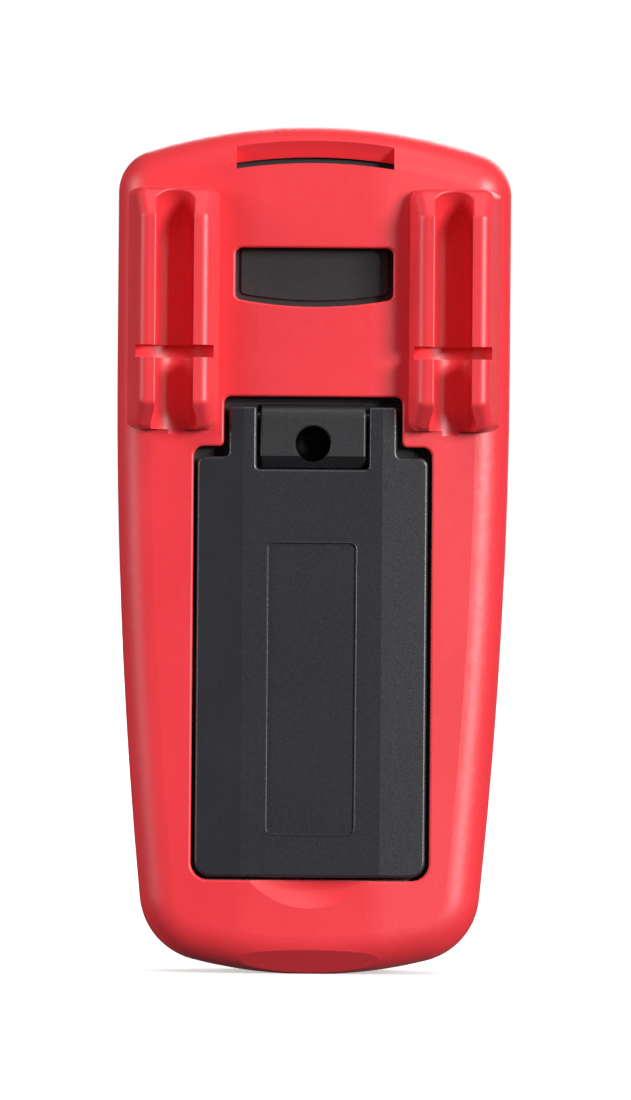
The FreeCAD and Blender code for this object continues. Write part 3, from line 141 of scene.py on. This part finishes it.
# %% Material helpers
def start_material(name):
    """(material, node maker, shader, object coordinates) for a new finish."""
    material = bpy.data.materials.new(name)
    material.use_nodes = True
    tree = material.node_tree
    shader = tree.nodes["Principled BSDF"]
    place = tree.nodes.new("ShaderNodeTexCoord").outputs["Object"]

    def node(kind, inputs=None, **settings):
        made = tree.nodes.new("ShaderNode" + kind)
        for key, value in settings.items():
            setattr(made, key, value)
        for key, value in (inputs or {}).items():
            socket = made.inputs[key]
            if isinstance(value, bpy.types.NodeSocket):
                tree.links.new(value, socket)
            else:
                socket.default_value = value
        return made

    return material, node, shader, place


def grain(node, place, scale, detail=3.0, roughness=0.55):
    """A noise of that many features a metre, from 0 to 1."""
    return node("TexNoise", {"Vector": place, "Scale": scale, "Detail": detail,
                             "Roughness": roughness}).outputs["Fac"]


def spread(node, value, low, high, start=0.3, end=0.7):
    """Maps a texture's middle range to the range low to high."""
    return node("MapRange", {"Value": value, "From Min": start, "From Max": end, "To Min": low,
                             "To Max": high}).outputs["Result"]


def feed(material, socket, value):
    """Drives one of a shader's inputs by a texture."""
    material.node_tree.links.new(value, socket)


def wear_colours(material, node, shader, value, dark, light):
    """Lets the colour drift between two shades as a texture says."""
    ramp = node("ValToRGB", {"Fac": value})
    ramp.color_ramp.elements[0].position = 0.3
    ramp.color_ramp.elements[0].color = (*dark, 1)
    ramp.color_ramp.elements[1].position = 0.7
    ramp.color_ramp.elements[1].color = (*light, 1)
    feed(material, shader.inputs["Base Color"], ramp.outputs["Color"])


def emboss(material, node, shader, heights):
    """Bump from a list of (texture, depth in metres), one on top of the other."""
    normal = None
    for height, depth in heights:
        inputs = {"Height": height, "Distance": depth, "Strength": 1.0}
        if normal:
            inputs["Normal"] = normal
        normal = node("Bump", inputs).outputs["Normal"]
    feed(material, shader.inputs["Normal"], normal)


dressed = set()


def dress(material, *names):
    """Gives CAD nodes a finish in place of their plain one, and notes that they have it."""
    for name in names:
        mesh = nodes[name].data
        mesh.materials.clear()
        mesh.materials.append(material)
        dressed.add(name)


# %% [markdown]
# ## Red rubber
#
# The holster is soft overmould rubber with a fine moulded grain. Its red drifts very slightly, and it
# has a soft, wide shine.

# %% Red rubber
def red_rubber():
    """Red that drifts over centimetres, under a faint grain of two sizes."""
    material, node, shader, place = start_material("red_rubber")
    cloud = grain(node, place, 28.0, 2.0)
    fine = grain(node, place, 2600.0, 2.0)
    wear_colours(material, node, shader, cloud, (0.86, 0.037, 0.050), (0.93, 0.043, 0.058))
    feed(material, shader.inputs["Roughness"], spread(node, grain(node, place, 500.0), 0.40, 0.46))
    shader.inputs["Specular IOR Level"].default_value = 0.5
    shader.inputs["Sheen Weight"].default_value = 0.08
    shader.inputs["Sheen Roughness"].default_value = 0.4
    emboss(material, node, shader, [(grain(node, place, 160.0), 0.00003), (fine, 0.000015)])
    return material


dress(red_rubber(), "holster")

# %% [markdown]
# ## Dark moulded plastic
#
# The case, the battery cover and the stand are dark grey plastic from a spark-etched mould: a sandy
# grain about a third of a millimetre across, faint enough to look smooth at arm's length. The stand is
# the shinier of them.

# %% Dark plastic
def dark_plastic(name, dark, light, rough):
    """A dark drift of colour, with a sandy grain that varies the gloss and the height."""
    material, node, shader, place = start_material(name)
    cloud = grain(node, place, 40.0, 3.0)
    sand = grain(node, place, 3200.0, 2.0, 0.7)
    wear_colours(material, node, shader, cloud, dark, light)
    feed(material, shader.inputs["Roughness"], spread(node, sand, rough - 0.06, rough + 0.08))
    emboss(material, node, shader, [(grain(node, place, 260.0), 0.00003), (sand, 0.00002)])
    return material


case_plastic = dark_plastic("case_plastic", (0.017, 0.016, 0.019), (0.022, 0.021, 0.024), 0.46)
dress(case_plastic, "rear_case", "front_case", "battery_cover")
dress(dark_plastic("stand_plastic", (0.024, 0.024, 0.028), (0.028, 0.028, 0.035), 0.33), "tilt_stand")
dress(dark_plastic("knob_plastic", (0.016, 0.016, 0.018), (0.022, 0.022, 0.024), 0.38), "knob")

# %% [markdown]
# ## The other solid finishes
#
# Most of the smaller parts differ only in colour, gloss and how coarse their surface is: key rubber,
# the red and black jack guards, brass contacts, plated fuse caps, ceramic tubes and blackened screws.
# One recipe with those numbers as its arguments covers them all, and a table says which node gets what.

# %% Small parts
def plain_finish(name, dark, light, rough, metal=0.0, scale=1500.0, depth=0.00002):
    """A colour that drifts between two shades, a gloss that varies, and a fine moulded or drawn grain."""
    material, node, shader, place = start_material(name)
    wear_colours(material, node, shader, grain(node, place, scale / 20), dark, light)
    fine = grain(node, place, scale, 2.0, 0.6)
    feed(material, shader.inputs["Roughness"], spread(node, fine, rough - 0.05, rough + 0.07))
    shader.inputs["Metallic"].default_value = metal
    emboss(material, node, shader, [(fine, depth)])
    return material


jack_colours = {"v": "red", "com": "black", "ma": "red", "a": "red"}
shades = {
    "key_rubber": ((0.36, 0.37, 0.39), (0.42, 0.43, 0.45), 0.55, 0.0),
    "membrane_rubber": ((0.20, 0.20, 0.21), (0.25, 0.25, 0.26), 0.7, 0.0),
    "strip_rubber": ((0.55, 0.50, 0.46), (0.62, 0.56, 0.52), 0.6, 0.0),
    "inner_plastic": ((0.45, 0.45, 0.43), (0.52, 0.52, 0.50), 0.5, 0.0),
    "light_guide_white": ((0.80, 0.82, 0.80), (0.86, 0.88, 0.86), 0.25, 0.0),
    "pointer_white": ((0.78, 0.78, 0.76), (0.84, 0.84, 0.82), 0.4, 0.0),
    "label_print": ((0.050, 0.052, 0.058), (0.060, 0.062, 0.068), 0.45, 0.0),
    "print_white": ((0.74, 0.74, 0.72), (0.80, 0.80, 0.78), 0.5, 0.0),
    "segment_ink": ((0.050, 0.055, 0.050), (0.065, 0.070, 0.064), 0.4, 0.0),
    "chip_black": ((0.012, 0.012, 0.013), (0.020, 0.020, 0.021), 0.5, 0.0),
    "contact_brass": ((0.66, 0.44, 0.15), (0.74, 0.52, 0.20), 0.28, 1.0),
    "fuse_cap": ((0.62, 0.62, 0.60), (0.70, 0.70, 0.68), 0.25, 1.0),
    "fuse_ceramic": ((0.74, 0.72, 0.66), (0.82, 0.80, 0.75), 0.35, 0.0),
    "screw_steel": ((0.010, 0.010, 0.011), (0.016, 0.016, 0.017), 0.5, 0.6),
    "jack_red": ((0.60, 0.018, 0.022), (0.66, 0.024, 0.028), 0.38, 0.0),
    "jack_black": ((0.014, 0.014, 0.015), (0.019, 0.019, 0.020), 0.38, 0.0),
}
finishes = {name: plain_finish(name, *numbers) for name, numbers in shades.items()}
wearers = {
    "key_rubber": [f"key_{n}" for n in range(1, 7)],
    "membrane_rubber": ["keypad_membrane"],
    "strip_rubber": ["zebra_strip_lower", "zebra_strip_upper"],
    "inner_plastic": ["lcd_frame", "rotor"],
    "light_guide_white": ["light_guide"],
    "pointer_white": ["knob_pointer"],
    "label_print": ["face_label"],
    "chip_black": ["microchip", "buzzer", "battery_snap"],
    "contact_brass": ["wiper_ring", "shunt_bar", "cover_insert", "battery_studs",
                      *(f"jack_sleeve_{name}" for name in jack_colours),
                      *(f"fuse_clip_{size}_{n}" for size in ("10a", "ma") for n in (1, 2))],
    "fuse_cap": ["fuse_10a_caps", "fuse_ma_caps", "detent_ball_1", "detent_ball_2", "detent_spring_1",
                 "detent_spring_2"],
    "fuse_ceramic": ["fuse_10a", "fuse_ma"],
    "screw_steel": ["cover_screw", "board_screw_1", "board_screw_2",
                    *(f"case_screw_{n}" for n in range(1, 5))],
}
for name, colour in jack_colours.items():
    wearers.setdefault("jack_" + colour, []).append(f"jack_collar_{name}")
for finish, names in wearers.items():
    dress(finishes[finish], *names)

# %% [markdown]
# ## Lens, display, circuit board and battery
#
# Four parts need a recipe of their own. The lens is clear acrylic. The display is a grey-green panel.
# The circuit board is green lacquer over rows of copper tracks. The battery is a steel jacket printed
# in two colours, one above the other.

# %% Lens
def lens_clear():
    """Clear acrylic with a polish that varies very slightly."""
    material, node, shader, place = start_material("lens_clear")
    shader.inputs["Base Color"].default_value = (0.97, 0.98, 0.98, 1)
    shader.inputs["Transmission Weight"].default_value = 1.0
    shader.inputs["IOR"].default_value = 1.49
    feed(material, shader.inputs["Roughness"], spread(node, grain(node, place, 90.0), 0.01, 0.04))
    return material


dress(lens_clear(), "display_lens")

# %% Display, board and battery
def display_panel():
    """The grey-green of a display that is switched off."""
    material, node, shader, place = start_material("lcd")
    cloud = grain(node, place, 12.0, 1.0)
    wear_colours(material, node, shader, cloud, (0.30, 0.34, 0.28), (0.34, 0.38, 0.32))
    feed(material, shader.inputs["Roughness"], spread(node, grain(node, place, 700.0), 0.22, 0.30))
    return material


def two_tone(name, choice_of, first, second, rough):
    """Two colours, the second wherever a texture passes one half."""
    material, node, shader, place = start_material(name)
    mask = choice_of(node, place)
    step = node("MapRange", {"Value": mask, "From Min": 0.48, "From Max": 0.52}).outputs["Result"]
    wear_colours(material, node, shader, step, first, second)
    fine = grain(node, place, 1800.0, 2.0)
    feed(material, shader.inputs["Roughness"], spread(node, fine, rough - 0.04, rough + 0.06))
    emboss(material, node, shader, [(step, 0.00003), (fine, 0.00001)])
    return material


def tracks(node, place):
    """Copper tracks about 1.5 mm wide and 5 mm apart, bent by a noise: a wave along X, kept where it
    is near its crest."""
    lines = node("TexWave", {"Vector": place, "Scale": 62.0, "Distortion": 6.0, "Detail": 1.0,
                             "Detail Scale": 20.0}, wave_type="BANDS", bands_direction="X").outputs["Fac"]
    return spread(node, lines, 0.0, 1.0, 0.70, 0.92)


def jacket_band(node, place):
    """Above the battery's shoulder band the jacket changes colour."""
    height = node("SeparateXYZ", {"Vector": place}).outputs["Z"]
    return spread(node, height, 0.0, 1.0, 0.0655, 0.0660)


dress(display_panel(), "lcd_panel")
dress(two_tone("circuit_board", tracks, (0.012, 0.115, 0.045), (0.035, 0.21, 0.08), 0.32), "main_board")
dress(two_tone("battery_jacket", jacket_band, (0.020, 0.021, 0.024), (0.62, 0.40, 0.13), 0.3), "battery")
print("nodes:", len(nodes), "without a finish:", sorted(set(nodes) - dressed))

# %% [markdown]
# ## Printed marks
#
# The front is printed: ticks and symbols round the dial, names beside the jacks, signs on the keys and
# the unlit segments of the display. A print is a film a few hundredths of a millimetre thick. Each
# stroke is a ribbon carried along a path, so that it is a real shape and not a picture.

# %% Ribbons
millimetre = 0.001
print_height = 0.00004
word_weld = 1e-7


def ribbon(path, width, level):
    """A flat strip along a path of (x, z) points in millimetres, facing the front.

    Each station has four corners: the path's point plus or minus half the width along the path's
    normal, at the level and at the level plus the print's height. Neighbours are joined by quads."""
    path = np.asarray(path, dtype=float) * millimetre
    along = np.gradient(path, axis=0)
    along /= np.linalg.norm(along, axis=1, keepdims=True)
    side = np.stack([-along[:, 1], along[:, 0]], axis=1) * width * millimetre / 2
    low, high = level * millimetre - print_height / 2, level * millimetre + print_height
    corners = [(path + side, low), (path - side, low), (path - side, high), (path + side, high)]
    points = np.stack([np.stack([flat[:, 0], np.full(len(flat), y), flat[:, 1]], axis=1)
                       for flat, y in corners], axis=1)
    count = len(path)
    station = np.arange(count - 1)[:, None] * 4
    edge = np.arange(4)[None, :]
    after = (edge + 1) % 4
    quads = np.stack([station + edge, station + after, station + 4 + after, station + 4 + edge], axis=-1)
    ends = np.array([[3, 2, 1, 0], [0, 1, 2, 3]]) + np.array([[0], [4 * (count - 1)]])
    return points.reshape(-1, 3), np.concatenate([quads.reshape(-1, 4), ends])


def arc(centre, radius, start, end, steps=24):
    """Points on a circle, with the angle in degrees from straight up, turning towards +X."""
    turn = np.radians(np.linspace(start, end, steps))
    return np.stack([centre[0] + radius * np.sin(turn), centre[1] + radius * np.cos(turn)], axis=1)


def join(name, shapes, weld=0.0):
    """One object from several (points, faces) pairs, with its faces turned outwards. Points nearer to
    each other than weld metres become one."""
    offsets = np.cumsum([0] + [len(points) for points, faces in shapes[:-1]])
    points = np.concatenate([points for points, faces in shapes])
    faces = [[int(corner + start) for corner in face]
             for (own, rings), start in zip(shapes, offsets) for face in rings]
    mesh = bpy.data.meshes.new(name)
    mesh.from_pydata(points.tolist(), [], faces)
    shape = bmesh.new()
    shape.from_mesh(mesh)
    if weld:
        bmesh.ops.remove_doubles(shape, verts=shape.verts, dist=weld)
    bmesh.ops.recalc_face_normals(shape, faces=shape.faces)
    shape.to_mesh(mesh)
    shape.free()
    made = bpy.data.objects.new(name, mesh)
    bpy.context.scene.collection.objects.link(made)
    return made


def closed_grid(rows, columns):
    """Quads over a grid of points that closes on itself both ways: each point with its neighbours."""
    r, c = np.meshgrid(np.arange(rows), np.arange(columns), indexing="ij")
    after, beside = (r + 1) % rows, (c + 1) % columns
    quads = [r * columns + c, after * columns + c, after * columns + beside, r * columns + beside]
    return np.stack(quads, axis=-1).reshape(-1, 4)


def place_piece(piece, material, body):
    """Gives a new piece its finish and the body it rides on."""
    piece.data.materials.append(material)
    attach(piece, body)
    print(piece.name, len(piece.data.polygons), "faces on", body)


def lettering(words, size, centre, level):
    """(points, faces) of a word that faces the front, its middle at an (x, z) centre in millimetres."""
    curve = bpy.data.curves.new("words", "FONT")
    curve.body = words
    curve.size = size * millimetre
    curve.align_x = "CENTER"
    curve.align_y = "CENTER"
    curve.extrude = print_height
    curve.resolution_u = 3
    writer = bpy.data.objects.new("words", curve)
    mesh = bpy.data.meshes.new_from_object(writer)
    flat = np.empty(len(mesh.vertices) * 3)
    mesh.vertices.foreach_get("co", flat)
    flat = flat.reshape(-1, 3)
    x, z = centre
    points = np.stack([x * millimetre - flat[:, 0], level * millimetre + flat[:, 2],
                       z * millimetre + flat[:, 1]], axis=1)
    faces = [tuple(face.vertices) for face in mesh.polygons]
    bpy.data.objects.remove(writer)
    return points, faces

# %% [markdown]
# ## The dial's scale
#
# The knob turns through 240 degrees in nine clicks. Each click has a tick on the ring round the knob,
# and beyond it the sign of what is measured there.

# %% Dial scale
dial = (0.0, 67.0)
label_level = 16.2
sign_radius, sign_size, sign_stroke, above_letter = 26.0, 3.3, 0.36, 2.1
tick_inner, tick_outer, tick_width = 21.2, 22.9, 0.45
positions = [120 - 30 * click for click in range(9)]
signs = ["OFF", "V", "V", "mV", None, None, "Hz", "mA", "A"]


def from_dial(turn, radius):
    """The (x, z) point at a turn from straight up and a radius about the dial."""
    angle = math.radians(turn)
    return (dial[0] + radius * math.sin(angle), dial[1] + radius * math.cos(angle))


scale = [ribbon([from_dial(turn, tick_inner), from_dial(turn, tick_outer)], tick_width, label_level)
         for turn in positions]
words = [lettering(sign, sign_size, from_dial(turn, sign_radius), label_level)
         for sign, turn in zip(signs, positions) if sign]


def shifted(strokes, centre):
    """Strokes drawn about nothing, moved to a centre; +X is to the left of a reader."""
    return [np.asarray(stroke, dtype=float) + np.asarray(centre) for stroke in strokes]


waves = 1.3 * np.linspace(-1, 1, 16)
alternating = [np.stack([waves, 0.35 * np.sin(waves * math.pi / 1.3)], axis=1)]
steady = [[(-1.3, 0.25), (1.3, 0.25)], [(-1.3, -0.35), (-0.5, -0.35)], [(0.5, -0.35), (1.3, -0.35)]]
ohm = [arc((0, 0.25), 1.15, -145, 145), [(-1.35, -1.2), (-0.55, -1.2)], [(0.55, -1.2), (1.35, -1.2)],
       [(-0.62, -1.2), (-0.66, -0.7)], [(0.62, -1.2), (0.66, -0.7)]]
diode = [[(-1.7, 0), (1.7, 0)], [(-0.6, 0.9), (-0.6, -0.9)], [(0.6, 0.9), (0.6, -0.9)],
         [(0.6, 0.9), (-0.6, 0)], [(0.6, -0.9), (-0.6, 0)]]
symbols = [(alternating, 1, above_letter), (steady, 2, above_letter), (ohm, 4, 0), (diode, 5, 0)]
for strokes, click, lift in symbols:
    x, z = from_dial(positions[click], sign_radius)
    scale += [ribbon(path, sign_stroke, label_level) for path in shifted(strokes, (x, z + lift))]
place_piece(join("dial_scale", scale), finishes["print_white"], "meter")


place_piece(join("dial_signs", words, word_weld), finishes["print_white"], "meter")

# %% [markdown]
# ## Names beside the jacks
#
# Each jack has its sign printed above it on the face.

# %% Jack names
face_level = 16.0
name_height, name_size = 33.2, 3.2
jack_places = {name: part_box(f"jack_collar_{name}") for name in jack_colours}
jack_words = {"v": "V", "com": "COM", "ma": "mA", "a": "A"}
middles = {name: (low[0] + high[0]) / 2 / millimetre for name, (low, high) in jack_places.items()}
tags = [lettering(jack_words[name], name_size, (x, name_height), face_level)
        for name, x in middles.items()]
place_piece(join("jack_names", tags, word_weld), finishes["print_white"], "meter")

# %% [markdown]
# ## Signs on the keys
#
# The six keys carry a short sign each, in dark ink on grey rubber. A sign rides on its own key, so it
# goes down with it.

# %% Key signs
key_stroke = 0.32
square_wave = [[(2.2, -0.8), (1.1, -0.8)], [(1.1, -0.8), (1.1, 0.8)], [(1.1, 0.8), (0, 0.8)],
               [(0, 0.8), (0, -0.8)], [(0, -0.8), (-1.1, -0.8)], [(-1.1, -0.8), (-1.1, 0.8)],
               [(-1.1, 0.8), (-2.2, 0.8)]]
triangle = [[(1.2, -0.9), (0, 1.0)], [(0, 1.0), (-1.2, -0.9)], [(-1.2, -0.9), (1.2, -0.9)]]
lamp = [arc((0, 0), 0.75, 0, 360)]
lamp += [[(1.15 * math.sin(t), 1.15 * math.cos(t)), (1.7 * math.sin(t), 1.7 * math.cos(t))]
         for t in np.radians(np.arange(0, 360, 45))]
bars = [[(x, -1.0), (x, 1.0 - 0.45 * n)] for n, x in enumerate((1.5, 0.5, -0.5, -1.5))]
ring = [arc((0, 0), 1.1, 0, 360), [(0, -0.2), (0, 1.5)]]
hold = [[(0.8, -1.0), (0.8, 1.0)], [(-0.8, -1.0), (-0.8, 1.0)], [(0.8, 0), (-0.8, 0)]]
key_signs = [square_wave, triangle, lamp, bars, ring, hold]
for number, strokes in enumerate(key_signs, start=1):
    low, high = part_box(f"key_{number}")
    middle = ((low[0] + high[0]) / 2 / millimetre, (low[2] + high[2]) / 2 / millimetre)
    marks = [ribbon(path, key_stroke, high[1] / millimetre) for path in shifted(strokes, middle)]
    piece = join(f"key_sign_{number}", marks)
    place_piece(piece, finishes["chip_black"], f"key_{number}_body")

# %% [markdown]
# ## Display segments
#
# The liquid crystal shows four digits of seven slanted segments, three points and a bar scale. The
# meter is off, so they are only faintly darker than the panel.

# %% Display segments
panel_low, panel_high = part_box("lcd_panel")
panel_level = panel_high[1] / millimetre
panel_z = (panel_low[2] + panel_high[2]) / 2 / millimetre
digit_tall, digit_wide, digit_pitch, slant = 17.0, 8.4, 13.0, 0.10
segment_width, segment_inset, point_size, digit_lift = 1.3, 0.75, 1.2, 1.5
scale_drop, scale_pitch, long_tick, short_tick, scale_width = 11.5, 1.2, 1.8, 1.0, 0.35
segment_ends = [((-1, 1), (1, 1)), ((-1, 0), (1, 0)), ((-1, -1), (1, -1)), ((-1, 1), (-1, 0)),
                ((-1, 0), (-1, -1)), ((1, 1), (1, 0)), ((1, 0), (1, -1))]
segments = []
for digit in range(4):
    middle = (digit - 1.5) * digit_pitch
    for ends in segment_ends:
        start, end = (np.array([x * digit_wide / 2, z * digit_tall / 2]) for x, z in ends)
        inset = (end - start) / np.linalg.norm(end - start) * segment_inset
        pair = np.stack([start + inset, end - inset])
        pair[:, 0] += middle - pair[:, 1] * slant
        pair[:, 1] += panel_z + digit_lift
        segments.append(ribbon(pair, segment_width, panel_level))
    if digit:
        x = middle - digit_pitch / 2 + digit_tall / 2 * slant
        z = panel_z + digit_lift - digit_tall / 2
        point = [(x - point_size / 2, z), (x + point_size / 2, z)]
        segments.append(ribbon(point, point_size, panel_level))
scale_z = panel_z - scale_drop
for tick in range(41):
    x = (tick - 20) * scale_pitch
    tall = short_tick if tick % 10 else long_tick
    segments.append(ribbon([(x, scale_z), (x, scale_z + tall)], scale_width, panel_level))
place_piece(join("display_segments", segments), finishes["segment_ink"], "meter")

# %% [markdown]
# ## Grip ring
#
# The rim of the knob's skirt is fluted so that a thumb can turn it. The flutes are one wave carried
# round the rim: the radius is the skirt's plus a share of a cosine that repeats sixty times a turn.

# %% Grip ring
def fluted_ring(centre, radius, depth, low, high, flutes, across=8):
    """A band about the dial's axis: radius + depth (1 + cos(flutes a)) / 2, bulged by a half sine of
    the height; its two edges run back inside the skirt so that the band is closed."""
    turn = np.linspace(0, 2 * np.pi, flutes * 8, endpoint=False)
    rise = np.linspace(0, np.pi, across)
    inside = radius - 0.4
    a, b = np.meshgrid(turn, rise, indexing="ij")
    reach = radius + depth * (1 + np.cos(flutes * a)) / 2 * np.sin(b)
    level = low + (high - low) * (1 - np.cos(b)) / 2
    back = np.full((len(turn), 1), inside)
    reach = np.concatenate([back, reach, back], axis=1)
    level = np.concatenate([np.full_like(back, low), level, np.full_like(back, high)], axis=1)
    a = np.repeat(turn[:, None], across + 2, axis=1)
    points = np.stack([centre[0] + reach * np.sin(a), level, centre[1] + reach * np.cos(a)], axis=-1)
    return points.reshape(-1, 3) * millimetre, closed_grid(len(turn), across + 2)


grip = join("knob_grip_ring", [fluted_ring(dial, 19.95, 0.35, 16.5, 17.5, 60)])
place_piece(grip, nodes["knob"].data.materials[0], "dial")

# %% [markdown]
# ## Panel edge
#
# The shallow panel in the stand has a fine rounded edge that stands a tenth of a millimetre proud and
# catches the light all round it.

# %% Panel edge
def rounded_outline(half, low, high, corner, steps=7):
    """Points round a rectangle with quarter circles at its corners, from the upper right one on."""
    middles = [(half - corner, high - corner), (half - corner, low + corner),
               (corner - half, low + corner), (corner - half, high - corner)]
    return np.concatenate([arc(middle, corner, 90 * n, 90 * n + 90, steps)
                           for n, middle in enumerate(middles)])


def bead(outline, radius, level, across=10):
    """A round bar along a closed (x, z) outline: about each point a circle of that radius, spanned by
    the outline's own normal and Y, its middle at the level. Neighbours are joined by quads."""
    along = np.roll(outline, -1, axis=0) - np.roll(outline, 1, axis=0)
    along /= np.linalg.norm(along, axis=1, keepdims=True)
    out = np.stack([-along[:, 1], along[:, 0]], axis=1)
    turn = np.linspace(0, 2 * np.pi, across, endpoint=False)
    flat = outline[:, None, :] + radius * np.cos(turn)[None, :, None] * out[:, None, :]
    depth = np.broadcast_to(level + radius * np.sin(turn), flat.shape[:2])
    points = np.stack([flat[..., 0], depth, flat[..., 1]], axis=-1)
    return points.reshape(-1, 3) * millimetre, closed_grid(len(outline), across)


panel_half, panel_low_z, panel_high_z, panel_corner = 9.5, 30.0, 92.6, 1.4
edge_radius, edge_level = 0.2, -15.4
outline = rounded_outline(panel_half, panel_low_z, panel_high_z, panel_corner)
panel_edge = join("panel_edge", [bead(outline, edge_radius, edge_level)])
for face in panel_edge.data.polygons:
    face.use_smooth = True
place_piece(panel_edge, nodes["tilt_stand"].data.materials[0], "stand")

# %% [markdown]
# ## Floor finish
#
# The floor is a plain pale sheet, lifted a little by a glow of its own so that it meets the sky.

# %% Floor finish
floor_material, _, floor_shader, _ = start_material("floor_sheet")
floor_shader.inputs["Base Color"].default_value = (0.96, 0.96, 0.96, 1)
floor_shader.inputs["Roughness"].default_value = 0.9
floor_shader.inputs["Emission Color"].default_value = (1, 1, 1, 1)
floor_shader.inputs["Emission Strength"].default_value = 0.5
floor_mesh.materials.append(floor_material)
